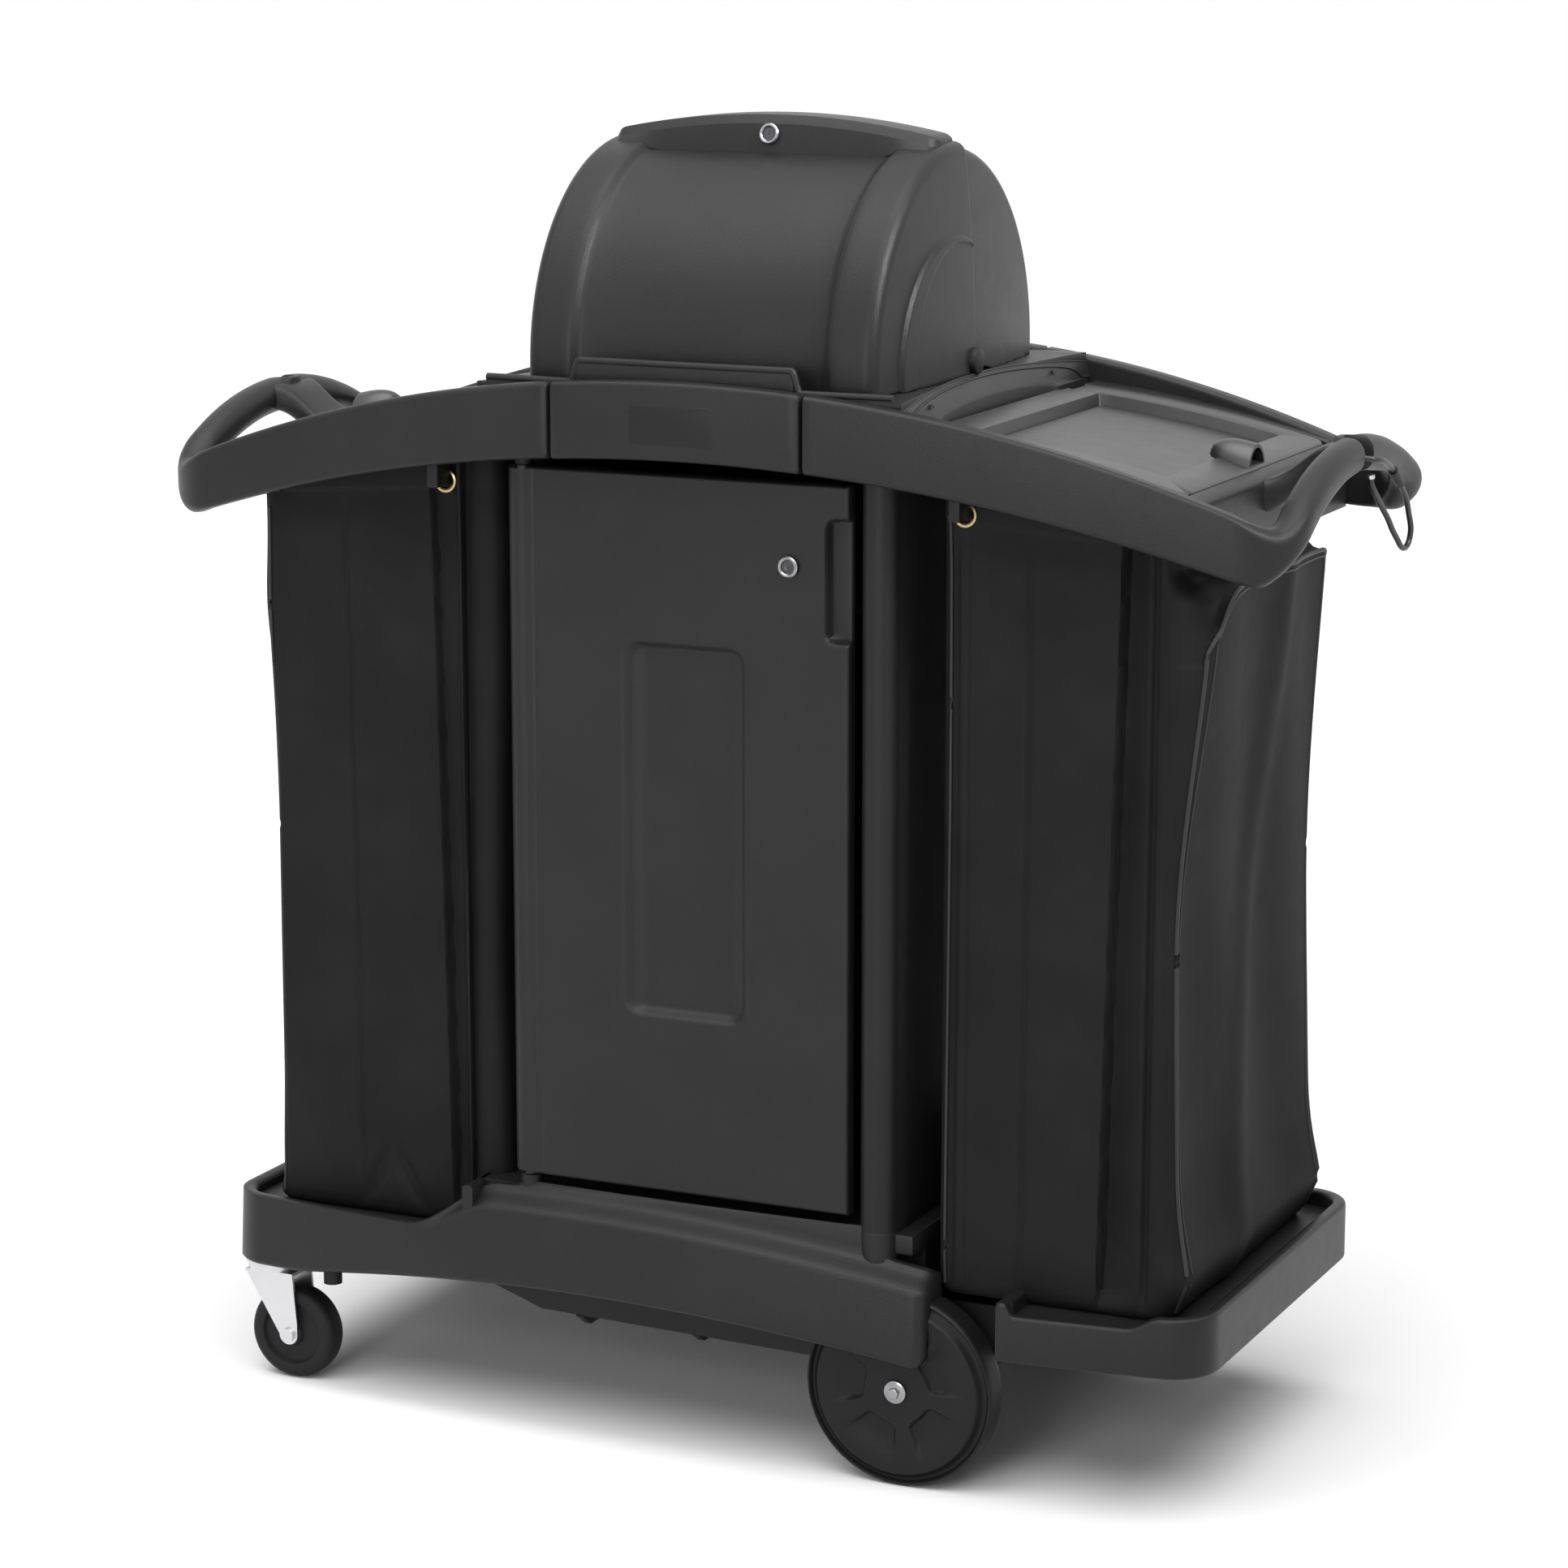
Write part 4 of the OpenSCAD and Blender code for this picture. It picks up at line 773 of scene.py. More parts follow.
def make_door():
    """Front face as a height field, with a sunk panel, a finger pull and the round hinge edge."""
    left_x, edge_r, line_x = -0.1895, 0.004, -0.172
    lo_x, hi_x, lo_z, hi_z, panel_r, panel_depth = -0.076, 0.067, 0.457, 0.849, 0.02, 0.01
    pull_x, pull_lo, pull_hi, pull_r, pull_depth = 0.15, 0.858, 0.983, 0.01, 0.011
    rim = 0.004
    xs = stations((left_x, DOOR_RIGHT, 26), (DOOR_RIGHT - 0.005, DOOR_RIGHT, 6), (left_x, -0.16, 16),
                  (lo_x - rim, lo_x + 0.028, 12), (hi_x - 0.028, hi_x + rim, 12),
                  (pull_x - 0.006, pull_x + rim, 9))
    zs = stations((DOOR_BOT, DOOR_TOP, 34), (DOOR_BOT, DOOR_BOT + 0.005, 6), (DOOR_TOP - 0.005, DOOR_TOP, 6),
                  (lo_z - rim, lo_z + 0.03, 16), (hi_z - 0.03, hi_z + rim, 16),
                  (pull_lo - rim, pull_lo + 0.014, 10), (pull_hi - 0.014, pull_hi + rim, 10))
    xs, zs = np.unique(np.round(xs, 5)), np.unique(np.round(zs, 5))

    def inside(x, z, x0, x1, z0, z1, r):
        """How far a point is inside a rounded rectangle."""
        dx = max(x0 + r - x, x - x1 + r, 0)
        dz = max(z0 + r - z, z - z1 + r, 0)
        return r - hypot(dx, dz) if dx > 0 and dz > 0 else min(x - x0, x1 - x, z - z0, z1 - z)

    def face(x, z):
        edge = min(DOOR_RIGHT - x, z - DOOR_BOT, DOOR_TOP - z)
        y = DOOR_FRONT + 0.0012
        if edge < edge_r:
            y += edge_r - sqrt(max(0, edge_r**2 - (edge_r - edge) ** 2))
        bulge = abs(x + HINGE_X)
        if bulge < BARREL_R:
            y = min(y, DOOR_FRONT + BARREL_R - sqrt(BARREL_R**2 - bulge**2))
        y += 0.0012 * bump_at(x, line_x, 0.002)
        across = clamp(min(x - lo_x, hi_x - x) / 0.026)
        sunk = ease(0, 0.012, inside(x, z, lo_x, hi_x, lo_z, hi_z, panel_r))
        y += panel_depth * sunk * (ease(0, 1, across) * 0.6 + 0.4)
        pulled = inside(x, z, pull_x, DOOR_RIGHT + 0.05, pull_lo, pull_hi, pull_r)
        return y + pull_depth * ease(-0.001, 0.004, pulled)

    verts = [(x, face(x, z), z) for z in zs for x in xs]
    rows, columns = len(zs), len(xs)
    faces = strips(rows, columns, False)
    ring = list(range(columns)) + [i * columns + columns - 1 for i in range(1, rows)]
    ring += [(rows - 1) * columns + j for j in range(columns - 2, -1, -1)]
    ring += [i * columns for i in range(rows - 2, 0, -1)]
    start, n = len(verts), len(ring)
    verts += [(verts[i][0], DOOR_FRONT + DOOR_T, verts[i][2]) for i in ring]
    faces += [(ring[i], ring[(i + 1) % n], start + (i + 1) % n, start + i) for i in range(n)]
    faces.append(tuple(range(start, start + n)))
    return build("door_face", verts, faces, 45)


def rod(r, height, edge):
    """Profile of an upright rod with its ends softened."""
    return [(ON_AXIS, 0), (r - edge, 0), (r, edge), (r, height - edge), (r - edge, height), (ON_AXIS, height)]


dress(make_door(), shell, "door_leaf", "shell_plastic", "door")
barrel_foot = (-HINGE_X, DOOR_FRONT + BARREL_R, DOOR_BOT)
barrel = lathe("door_barrel", rod(BARREL_R, DOOR_TOP - DOOR_BOT, 0.003), barrel_foot, (0, 0, 1), 48)
dress(barrel, shell, "door_leaf", "shell_plastic")

# Base

def skirt_top_at(x):
    crease = CREASE_Z - CREASE_FALL * (x - CREASE_X) ** 2
    return RIM_TOP + (crease - RIM_TOP) * ease(-0.322, -0.228, x)


def skirt_bot_at(x):
    arch = arc_at(x - SKIRT_ARCH_X, SKIRT_ARCH_Z, SKIRT_ARCH_R)
    return soft_max(RIM_BOT, arch, 0.004) if x < SKIRT_ARCH_X else arch


def make_base():
    """Rim of the long platform, with its flared skirt and the sill that rises behind the skirt's crease."""
    points, normals = plan_path(BASE_X, BASE_R, -SKIRT_END, -SKIRT_END, 110, 14, 24)
    end_round, foot_r, hollow_depth, crease_depth = 0.012, 0.003, 0.0145, 0.0195
    rings = []
    for p, n in zip(points * (-1, 1), normals * (-1, 1)):
        x = p[0]
        flare = ease(-0.325, -0.235, x)
        end = end_round * ease(SKIRT_END - end_round, SKIRT_END, x) ** 2
        top, low = skirt_top_at(x) - 0.5 * end, skirt_bot_at(x) + end
        sill = max(0.0, SILL_TOP - top) * (ease(-0.212, -0.196, x) * fade(0.205, 0.222, x))
        outer = []
        for t in np.linspace(0, 1, 30):
            hollow = hollow_depth * t**1.4 + crease_depth * ease(0.78, 1.0, t)
            z = low + foot_r + t * (top - low - 0.004)
            outer.append((end + flare * hollow + foot_r * t * (1 - flare), z))
        crest = outer[-1][0]
        section = [(RIM_T - foot_r, low), (foot_r + end, low), *outer,
                   (crest + 0.0014, top - 0.0004 + 0.3 * sill),
                   (crest + 0.0024, top + max(0.0, sill - 0.003)), (crest + 0.005, top + sill),
                   (crest + 0.011, top + sill - 0.001), (crest + 0.014, top + sill - 0.004),
                   (crest + 0.015, top - 0.006 - 0.02 * flare),
                   (max(crest + 0.012, RIM_T), FLOOR_TOP - 0.006), (RIM_T, low + 0.004)]
        rings.append(wall(p, n, section))
    return loft("base_skirt", rings, sharp=50)


def tray_floor(name, x0, sign):
    """Floor of a platform from x0 to its end, reaching into its rim."""
    points, normals = plan_path(BASE_X, BASE_R, x0, x0, 30, 10, 12)
    outline = [(sign * x, y) for x, y in points - normals * (RIM_T - 0.002)]
    return flat(name, outline, FLOOR_TOP - FLOOR_T, FLOOR_T)


def cross_wall(name, x0, x1, z0, z1):
    """Upright wall across a platform, with a rounded top."""
    half = bow_at((x0 + x1) / 2) - RIM_T + 0.002
    section = rounded_box(x0, x1, z0, z1, 0.004, 5)
    return loft(name, [[(x, y, z) for x, z in section] for y in np.linspace(-1, 1, 9) * half], sharp=50)


def plate(name, lo, hi):
    """Flat plate between two corners, with its upright edges rounded."""
    outline = fillet(rectangle(lo[0], hi[0], lo[1], hi[1]), 0.0015, 3)
    return flat(name, outline, lo[2], hi[2] - lo[2])


def stub(name, place, r, low, high):
    """Short round foot with its top edge softened."""
    height, edge = high - low, 0.002
    profile = [(ON_AXIS, 0.0), (r, 0.0), (r, height - edge), (r - edge, height), (ON_AXIS, height)]
    return lathe(name, profile, (*place, low), (0, 0, 1), 40)


def make_end_rim():
    points, normals = plan_path(BASE_X, BASE_R, END_X, END_X, 60, 14, 24)
    dip, chamfer = 0.013, 0.002
    rings = []
    for i, (p, n) in enumerate(zip(points, normals)):
        cut = ease(END_X + 0.008, END_X + 0.018, p[0]) * fade(0.478, 0.512, p[0])
        e = chamfer if i in (0, len(points) - 1) else 0.0
        section = rounded_box(e, RIM_T - e, END_RIM_BOT + e, END_RIM_TOP - dip * cut - e, 0.004, 5)
        rings.append(wall(p, n, section))
    return loft("end_rim", rings, sharp=50)


SIDE_X, LEFT_POST_Y, RISER_X0, RISER_X1 = POST_X + POST_R, -POST_Y + 0.042, -0.257, -0.245
CABINET = {"cabinet_floor": ((-0.256, -0.228, SILL_Z - 0.02), (0.241, 0.228, SILL_Z)),
           "rear_panel": ((-POST_X, POST_Y + POST_R - PANEL_T, SILL_Z), (POST_X, POST_Y + POST_R, DECK_BOT)),
           "left_panel": ((-SIDE_X, LEFT_POST_Y, SILL_Z), (-SIDE_X + PANEL_T, POST_Y, DECK_BOT)),
           "right_panel": ((SIDE_X - PANEL_T, -POST_Y, SILL_Z), (SIDE_X, POST_Y, DECK_BOT))}
mould(make_base(), "base_rim", "base_floor")
mould(tray_floor("base_tray_floor", 0.246, -1))
for name, (lo, hi) in CABINET.items():
    mould(plate(name + "_plate", lo, hi), name)
mould(stub("post_foot", (POST_X, -POST_Y), POST_R + 0.0004, 0.222, 0.262))
mould(stub("hinge_boss", (-HINGE_X, DOOR_FRONT + BARREL_R), 0.012, 0.248, 0.274))
mould(cross_wall("base_riser", RISER_X0, RISER_X1, FLOOR_TOP - FLOOR_T, SILL_Z))
mould(make_end_rim(), "end_platform")
mould(tray_floor("end_floor", END_X + 0.001, 1))
mould(cross_wall("end_wall", END_X, END_X + RIM_T, END_RIM_BOT, END_RIM_TOP))

# Wheels

def wheel_pockets(r, a):
    """Five U-shaped pockets, crisp at the hub end and fading towards the rim."""
    pitch = 2 * pi / POCKETS
    turn = abs((a - POCKET_START + pitch / 2) % pitch - pitch / 2)
    if not 0.03 < r < 0.082 or turn > POCKET_HALF:
        return 0.0
    hub_edge = 0.034 + 0.006 * (turn / POCKET_HALF) ** 4
    side = (POCKET_HALF - turn) * r
    depth = min(ease(hub_edge, hub_edge + 0.0035, r), ease(0.0, 0.0045, side))
    return -POCKET_DEPTH * depth * fade(0.048, 0.08, r)


def make_wheel():
    face = [(r, 0.044) for r in np.linspace(0.0085, 0.0845, 96)]
    rim = [(0.0862, 0.044), (0.0872, 0.0434), (0.088, 0.042), (0.0895, 0.0388), (0.0915, 0.0362),
           (0.0938, 0.035), (0.0955, 0.0352), (0.0966, 0.0366), (0.0974, 0.0386), (0.0984, 0.0396),
           (0.0998, 0.039), (0.1009, 0.037), (0.1015, 0.0335), (0.1016, 0.029), (0.1016, 0.016),
           (0.1008, 0.008), (0.0985, 0.003), (0.095, 0.0004), (0.088, 0.0), (0.084, 0.004), (0.082, 0.006),
           (0.024, 0.006), (0.022, 0.0002), (0.0085, 0.0002), (0.0085, 0.044)]
    centre = (AXLE_X, -(WHEEL_Y - WHEEL_W), WHEEL_R)
    return lathe("front_wheel_body", face + rim, centre, (0, -1, 0), 240, wheel_pockets, 40, (1, 0, 0))


dress_pair(make_wheel(), 1, wheel_black, ("wheel_f", "wheel_r"), "wheel_plastic", "front_wheel")


def make_bolt(side, side_name):
    washer = [(ON_AXIS, 0.004), (0.01, 0.004), (0.0117, 0.003), (0.012, 0.001), (0.0118, 0.0)]
    y, head_r, head_h = side * (WHEEL_Y - 0.002), 0.0062, 0.0055
    disc = lathe(side_name + "_washer", washer, (AXLE_X, y, WHEEL_R), (0, side, 0), 48)
    hexagon = [(head_r * cos(a), head_r * sin(a)) for a in np.radians(np.arange(0, 360, 60) + 12)]
    head = slab(side_name + "_bolt_head", hexagon,
                lambda u, v, w: (AXLE_X + u, y + side * (0.0035 + w), WHEEL_R + v), head_h, 0.001)
    return disc, head


for side, side_name in SIDES:
    disc, head = make_bolt(side, side_name)
    dress(disc, chrome, "chassis", "chrome", side > 0 and "axle_bolts")
    dress(head, chrome, "chassis", "chrome")


def make_caster_wheel():
    half = CASTER_W / 2
    face = [(0.0042, -0.0015), (0.011, -0.0015), (0.013, 0.0), (0.014, 0.004), (0.033, 0.005), (0.035, 0.001),
            (0.0375, 0.0), (0.044, 0.0005), (0.048, 0.003), (0.05, 0.007), (CASTER_R, 0.012)]
    profile = [(r, half - sink) for r, sink in face] + [(r, sink - half) for r, sink in face[::-1]]
    centre = (-CASTER_X + CASTER_TRAIL, -CASTER_Y, CASTER_R)
    return lathe("front_caster_tyre", profile, centre, (0, -1, 0), 96, sharp=40)


dress_pair(make_caster_wheel(), 1, tread_black, ("roller_f", "roller_r"), "tread", "front_caster_wheel")

# Bags

BAG_RISE, BAG_WALL, INNER_BULGE = 0.012, 0.0025, 0.029
HEM_X, HEM_Z, HEM_SLOPE, HEM_T, HEM_EDGE = 0.27, 0.985, -0.07, 0.0024, 0.0012
FLAP_TOP, FLAP_FALL, FLAP_R, FLAP_REAR_R = 0.928, 0.01, 0.068, 0.016
FLAP_STEP, FLAP_T, FLAP_EDGE, FLAP_SOFT = 0.01, 0.004, 0.55, 0.002
CORNER_IN, CORNER_OUT, END_BAND = 0.024, 0.001, 0.022


def bag_plan():
    """Plan points and outward normals of a bag, close together where the folds are."""
    r = BAG_R
    points = []
    for a, b, (cx, cy), turn, step in (
            ((BAG_IN + r, -BAG_Y), (BAG_OUT - r, -BAG_Y), (BAG_OUT - r, -BAG_Y + r), -90, 0.0014),
            ((BAG_OUT, -BAG_Y + r), (BAG_OUT, BAG_Y - r), (BAG_OUT - r, BAG_Y - r), 0, 0.005),
            ((BAG_OUT - r, BAG_Y), (BAG_IN + r, BAG_Y), (BAG_IN + r, BAG_Y - r), 90, 0.0024),
            ((BAG_IN, BAG_Y - r), (BAG_IN, -BAG_Y + r), (BAG_IN + r, -BAG_Y + r), 180, 0.012)):
        run = np.subtract(b, a)
        count = int(np.linalg.norm(run) / step)
        points += [tuple(np.add(a, run * t)) for t in np.linspace(0, 1, count, endpoint=False)]
        points += [(cx + r * cos(angle), cy + r * sin(angle))
                   for angle in np.radians(np.linspace(turn, turn + 90, 16, endpoint=False))]
    points = np.array(points)
    along = np.roll(points, -1, 0) - np.roll(points, 1, 0)
    normals = np.stack([along[:, 1], -along[:, 0]], 1)
    return points, normals / np.linalg.norm(normals, axis=1, keepdims=True)


def cloth_point(point, normal, z, folds):
    """The place of a plan point on a folded bag at height z."""
    q = point + normal * folds(point[0], point[1], z)
    return (q[0], q[1], z)


def make_bag(name, folds):
    """A sewn fabric shell with folds, lofted from its base up behind the rails and down again inside."""
    points, normals = bag_plan()
    tuck_depth, tuck_end = 0.007, 0.013
    rows = np.concatenate([[0.0, 0.002, 0.006, tuck_end], stations((0.024, 0.79, 46), (0.8, 1.0, 70))])
    z0 = FLOOR_TOP + 0.0006
    outside = []
    for t in rows:
        tuck = tuck_depth * max(0.0, 1 - t / tuck_end) ** 2
        ring = []
        for p, n in zip(points, normals):
            top = rail_bot_at(p[0]) + BAG_RISE
            ring.append(cloth_point(p - n * tuck, n, z0 + t * (top - z0), folds))
        outside.append(ring)
    inside = []
    for ring in outside[::-1][::5]:
        inside.append([(q[0] - n[0] * BAG_WALL, q[1] - n[1] * BAG_WALL, max(q[2] - 0.0004, z0 + 0.003))
                       for q, n in zip(ring, normals)])
    return loft(name, outside + inside, sharp=60)


def hem_at(x):
    return HEM_Z + HEM_SLOPE * (x - HEM_X)


def hem_band(x, z):
    """Doubled hem along the top edge."""
    return HEM_T * ease(hem_at(x) - HEM_EDGE, hem_at(x) + HEM_EDGE, z)


def flap_top(y):
    """Free top edge of the right bag's end panel, with its two rounded corners."""
    edge = BAG_Y - FLAP_EDGE * BAG_R
    for reach, r in ((max(0.0, y + edge), FLAP_R), (max(0.0, edge - y), FLAP_REAR_R)):
        if reach < r:
            return FLAP_TOP - FLAP_FALL * (y > 0) - r + sqrt(max(0.0, r * r - (r - reach) ** 2))
    return FLAP_TOP - FLAP_FALL * ease(-0.02, BAG_Y - FLAP_REAR_R, y)


def bag_shares(x, y, z):
    """Height as a share of the bag, then how free, off the floor, frontal, outer and rearward a point is."""
    return ((z - FLOOR_TOP) / BAG_H, fade(hem_at(x) - 0.05, hem_at(x), z), ease(0.0, 0.05, z - FLOOR_TOP),
            ease(-BAG_Y + CORNER_IN, -BAG_Y + CORNER_OUT, y),
            ease(BAG_OUT - END_BAND, BAG_OUT - CORNER_OUT, x),
            ease(BAG_Y - CORNER_IN, BAG_Y - CORNER_OUT, y))


def rear_folds(x, z, t, middle):
    return 0.004 * sin(40 * x + 4 * z) - 0.008 * bump_at(x, middle - 0.02 * t, 0.008)


def right_folds(x, y, z):
    """How far the right bag's cloth stands out from its plan."""
    t, free, foot, front, end, rear = bag_shares(x, y, z)
    out = 0.0
    if front > 0:
        fold = 0.432 + 0.018 * t
        step = 0.02 * (ease(fold - 0.001, fold + 0.0022, x) * fade(fold + 0.004, 0.497, x))
        groove = 0.008 * bump_at(x, 0.481, 0.0042)
        bow = 0.006 * sin(pi * clamp((x - 0.262) / (fold - 0.262)))
        crease = -0.0026 * bump_at(x, 0.352 + 0.006 * t, 0.0032) + 0.0016 * sin(26 * x + 5 * z)
        edge = 0.006 * bump_at(x, 0.276, 0.0045) + 0.0016 * bump_at(x, 0.291, 0.0016)
        out += front * (hem_band(x, z) + free * foot * (bow + crease - edge) - foot * (step + groove))
    if end > 0:
        flare = (0.028 - 0.056 * (y + 0.127)) * ease(0.45, 0.93, t)
        waist = -0.004 * sin(pi * min(1, t))
        sag = 0.016 * bump_at(t, 0.035, 0.075)
        drape = 0.003 * sin(30 * y + 7 * z) * ease(0.0, 0.15, t) + 0.005 * bump_at(y, -0.05 + 0.1 * t, 0.03)
        flap = fade(flap_top(y) - FLAP_SOFT, flap_top(y) + FLAP_SOFT, z)
        gusset = fade(-BAG_Y + 0.07, -BAG_Y + 0.1, y) * fade(0.918, 0.95, z)
        behind = gusset * (flare + waist - FLAP_T) - (1 - gusset) * FLAP_STEP
        out += end * (flap * (flare + waist + sag * foot + drape) + (1 - flap) * behind)
    if rear > 0:
        out += rear * (hem_band(x, z) + free * foot * rear_folds(x, z, t, 0.34))
    return out


def left_folds(x, y, z):
    """How far the left bag's cloth stands out from its plan, before it is mirrored."""
    t, free, foot, front, end, rear = bag_shares(x, y, z)
    out = 0.0
    if front > 0:
        fold = 0.29 + 0.018 * t
        step = (0.018 - 0.008 * t) * fade(fold - 0.003, fold + 0.001, x)
        ridge = 0.014 * bump_at(x, 0.27 + 0.004 * t, 0.0045)
        crease = -0.0026 * bump_at(x, 0.398 + 0.008 * t, 0.0034) + 0.0016 * sin(24 * x + 4 * z)
        low = z - FLOOR_TOP
        kink_x = 0.045 * max(0.0, 1 - low / 0.08)
        kink = -0.009 * bump_at(abs(x - 0.362), kink_x, 0.006) * fade(0.05, 0.085, low)
        bow = 0.005 * sin(pi * clamp((x - fold) / (0.5 - fold)))
        out += front * (hem_band(x, z) + foot * (ridge - step) + free * foot * (bow + crease + kink))
    inner = fade(BAG_IN + 0.0005, BAG_IN + 0.008, x)
    if inner > 0:
        out += inner * foot * INNER_BULGE * (0.85 + 0.15 * sin(9 * z))
    if end > 0:
        waist = 0.014 * fade(0.5, 0.86, t) * foot
        swell = 0.006 * bump_at(t, 0.06, 0.08) * foot
        drape = 0.002 * sin(28 * y + 6 * z)
        out += end * (hem_band(x, z) - waist + 0.004 * bump_at(t, 0.8, 0.08) + swell + drape)
    if rear > 0:
        out += rear * (hem_band(x, z) + free * foot * rear_folds(x, z, t, 0.36))
    return out


def seam(name, folds, x, high):
    """Piping up the front of a bag at the plan point nearest x."""
    low, lift, r = 0.21, 0.001, 0.0018
    points, normals = bag_plan()
    i = int(np.argmin(np.hypot(points[:, 0] - x, points[:, 1] + BAG_Y)))
    p, n = points[i], normals[i]
    line = [cloth_point(p + n * lift, n, z, folds) for z in np.linspace(low, high, 70)]
    return tube(name, line, r, 8)


def flap_binding(name, folds, inset, r):
    """Piping up one corner of the right bag, along the end panel's free edge and down the other."""
    points, normals = bag_plan()
    reach = BAG_Y - FLAP_EDGE * BAG_R - inset
    along = [(p, n) for p, n in zip(points, normals) if p[0] > BAG_OUT - BAG_R and abs(p[1]) < reach]
    rise = np.linspace(FLOOR_TOP + 0.01, 1.0, 60)
    first, last = (flap_top(along[i][0][1]) - inset - 0.004 for i in (0, -1))
    line = [cloth_point(*along[0], z, folds) for z in rise if z < first]
    line += [cloth_point(p, n, flap_top(p[1]) - inset - 0.002, folds) for p, n in along]
    line += [cloth_point(*along[-1], z, folds) for z in rise[::-1] if z < last]
    return tube(name, line, r, 8)


dress(make_bag("right_bag_cloth", right_folds), fabric, "chassis", "bag_fabric", "right_bag")
for name, inset, r in (("right_bag_binding", 0.0, 0.0024), ("right_bag_stitching", 0.007, 0.0012)):
    dress(flap_binding(name, right_folds, inset, r), binding, "chassis", "bag_fabric")
dress(seam("right_bag_piping", right_folds, BAG_IN + 0.01, 0.99), binding, "chassis", "bag_fabric")
left_bag = make_bag("left_bag_source", left_folds)
left_piping = seam("left_piping_source", left_folds, BAG_OUT - 0.01, 0.95)
for source, name, cloth, replaced in ((left_bag, "left_bag_cloth", fabric, "left_bag"),
                                      (left_piping, "left_bag_piping", binding, None)):
    piece = mirrored(source, name, 0)
    bpy.data.objects.remove(source)
    dress(piece, cloth, "chassis", "bag_fabric", replaced)

GROMMET = [(0.0075, -0.001), (0.0075, 0.0034), (0.0088, 0.0048), (0.0105, 0.0052), (0.0122, 0.0044),
           (0.013, 0.0026), (0.013, -0.001)]
CORNERS = [(end, side, f"{end_name}_{side_name}") for end, end_name in ENDS for side, side_name in SIDES]
for end, side, corner in CORNERS:
    centre = (end * HOOK_XS[0], side * BAG_Y, rail_bot_at(HOOK_XS[0]) - 0.02)
    ring = lathe("grommet_" + corner, GROMMET, centre, (0, side, 0), 40)
    dress(ring, brass, "chassis", "brass", (end, side) == (1, 1) and "bag_grommets")


def make_bracket(name, x, side, low, high):
    """Hook bracket under a rail."""
    half, y0, y1 = 0.006, BAG_Y + 0.004, rail_inside(x) + 0.001
    outline = fillet(rectangle(x - half, x + half, y0, y1), 0.0015, 3)
    return flat(name, [(u, side * v) for u, v in outline], low, high - low)


for end, side, corner in CORNERS:
    for x, below, peg_lift, place in zip(HOOK_XS, (0.024, 0.0), (0.004, 0.01), ("inner", "outer")):
        low = rail_bot_at(x) - below
        first = (end, side, place) == (1, 1, "inner")
        bracket = make_bracket(f"bracket_{corner}_{place}", end * x, side, low, rail_bot_at(x) + 0.022)
        fit_dark(bracket, first and "hook_brackets")
        line = [(end * x, side * (BAG_Y + d), low + peg_lift) for d in (-0.006, -0.002, 0.006)]
        fit_dark(tube(f"peg_{corner}_{place}", line, 0.0045, 20), first and "hook_pegs")

# Security loop

CABLE_D = 0.006
ROUTE = np.array([(0.597, 0, 1.04), (0.609, 0, 1.04), (0.62, 0.001, 1.039), (0.628, 0.005, 1.038),
                  (0.632, 0.014, 1.036), (0.633, 0.026, 1.033), (0.633, 0.04, 1.028),
                  (0.633, 0.054, 1.021), (0.633, 0.078, 1.005), (0.633, 0.09, 0.996),
                  (0.633, 0.102, 0.985), (0.632, 0.114, 0.97), (0.632, 0.122, 0.956),
                  (0.631, 0.124, 0.946), (0.63, 0.12, 0.938), (0.629, 0.112, 0.935), (0.628, 0.103, 0.938),
                  (0.627, 0.094, 0.946), (0.625, 0.083, 0.957), (0.624, 0.07, 0.97), (0.622, 0.056, 0.983),
                  (0.621, 0.042, 0.995), (0.62, 0.032, 1.004), (0.619, 0.027, 1.011),
                  (0.619, 0.026, 1.016)])


def smooth_route(route, share=6):
    """Catmull-Rom points through the route."""
    padded = np.vstack([2 * route[0] - route[1], route, 2 * route[-1] - route[-2]])
    points = []
    for i in range(1, len(padded) - 2):
        a, b, c, d = padded[i - 1:i + 3]
        for t in np.linspace(0, 1, share, endpoint=False):
            square, cube = 2 * a - 5 * b + 4 * c - d, 3 * b - a - 3 * c + d
            points.append(0.5 * (2 * b + (c - a) * t + square * t**2 + cube * t**3))
    return np.array(points + [route[-1]])


cable_points = smooth_route(ROUTE)
curve = bpy.data.curves.new("lanyard_cable", "CURVE")
curve.dimensions = "3D"
curve.bevel_depth = CABLE_D / 2
curve.bevel_resolution = 4
spline = curve.splines.new("POLY")
spline.points.add(len(cable_points) - 1)
for point, place in zip(spline.points, cable_points):
    point.co = (*place, 1)
cable = add("lanyard_cable", curve)
dress(cable, cable_black, "chassis", "cable", "lanyard")

# Stage, light and camera

FLOOR_HALF, FLOOR_GREY, FLOOR_ROUGH = 9, 0.92, 0.9
floor_mesh = bpy.data.meshes.new("floor")
floor_corners = rectangle(-FLOOR_HALF, FLOOR_HALF, -FLOOR_HALF, FLOOR_HALF)
floor_mesh.from_pydata([(x, y, 0) for x, y in floor_corners], [], [(0, 1, 2, 3)])
floor = add("floor", floor_mesh)
floor_paint = bpy.data.materials.new("pale_floor")
floor_paint.use_nodes = True
set_inputs(floor_paint.node_tree.nodes["Principled BSDF"],
           {"Base Color": (FLOOR_GREY, FLOOR_GREY, FLOOR_GREY, 1), "Roughness": FLOOR_ROUGH})
floor_mesh.materials.append(floor_paint)

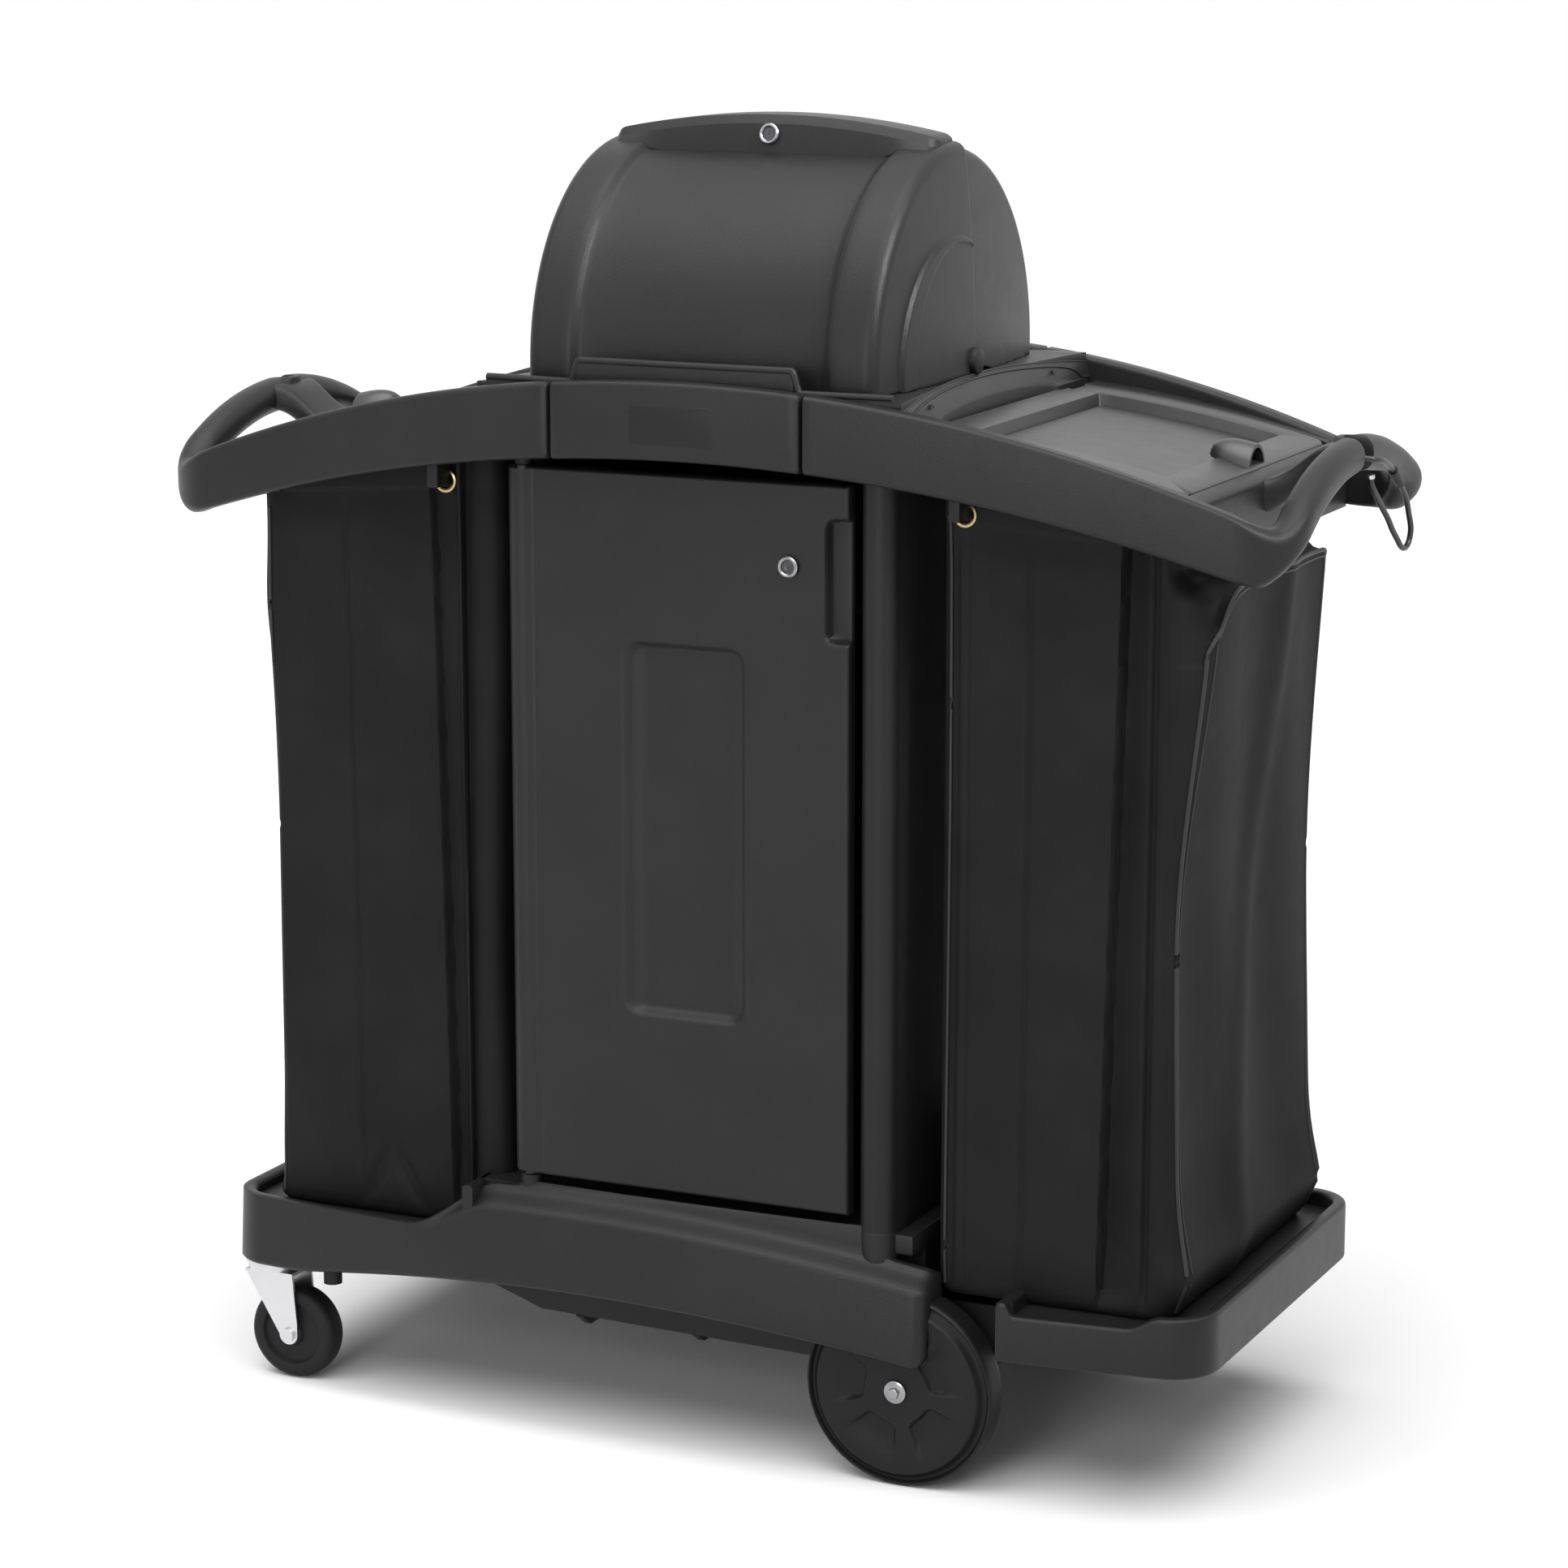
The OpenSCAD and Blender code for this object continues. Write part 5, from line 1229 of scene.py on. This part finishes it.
# The world is white where it is seen or mirrored, and dimmer as a light
WORLD_DIFFUSE, WORLD_SEEN = 0.22, 1.0
world = bpy.data.worlds.new("studio")
scene.world = world
world.use_nodes = True
tree = world.node_tree
background = tree.nodes["Background"]
set_inputs(background, {"Color": (1, 1, 1, 1)})
rays = tree.nodes.new("ShaderNodeLightPath").outputs


def either(a, b):
    node = tree.nodes.new("ShaderNodeMath")
    node.operation = "MAXIMUM"
    for socket, value in zip(node.inputs, (a, b)):
        tree.links.new(value, socket)
    return node.outputs[0]


level = tree.nodes.new("ShaderNodeMapRange")
set_inputs(level, {"To Min": WORLD_DIFFUSE, "To Max": WORLD_SEEN})
mirrored_or_through = either(rays["Is Glossy Ray"], rays["Is Transmission Ray"])
tree.links.new(either(rays["Is Camera Ray"], mirrored_or_through), level.inputs["Value"])
tree.links.new(level.outputs["Result"], background.inputs["Strength"])


def area_light(name, place, aim, size, power, spread=180):
    data = bpy.data.lights.new(name, "AREA")
    data.shape = "RECTANGLE"
    data.size, data.size_y = size
    data.energy = power
    data.spread = radians(spread)
    lamp = add(name, data)
    lamp.location = place
    lamp.rotation_euler = (Vector(aim) - Vector(place)).to_track_quat("-Z", "Y").to_euler()


sun_data = bpy.data.lights.new("overhead", "SUN")
sun_data.energy = 3.5
sun_data.angle = radians(70)
sun = add("overhead", sun_data)
sun.rotation_euler = (radians(14), radians(3), 0)
area_light("key", (-2.0, -2.6, 2.4), (0, 0, 0.7), (1.6, 2.0), 8)
area_light("side", (2.8, -0.6, 3.2), (0.2, 0, 1.3), (1.0, 1.0), 5, 24)
area_light("front", (0.3, -3.8, 1.5), (0.3, 0, 0.9), (1.4, 1.4), 36)

PHOTO_PX, FOCAL_PX, SENSOR_MM = 1932, 5612.98, 36
AZIMUTH, ELEVATION, DISTANCE = radians(24.73), radians(11.8), 4.51882
TARGET = Vector((0.1087, -0.25, 0.71568))
camera_data = bpy.data.cameras.new("camera")
camera_data.sensor_width = SENSOR_MM
camera_data.lens = FOCAL_PX / PHOTO_PX * SENSOR_MM
camera = add("camera", camera_data)
level_reach = cos(ELEVATION)
back = Vector((sin(AZIMUTH) * level_reach, -cos(AZIMUTH) * level_reach, sin(ELEVATION)))
camera.location = TARGET + back * DISTANCE
camera.rotation_euler = (-back).to_track_quat("-Z", "Y").to_euler()
scene.camera = camera
scene.view_settings.view_transform = "Standard"
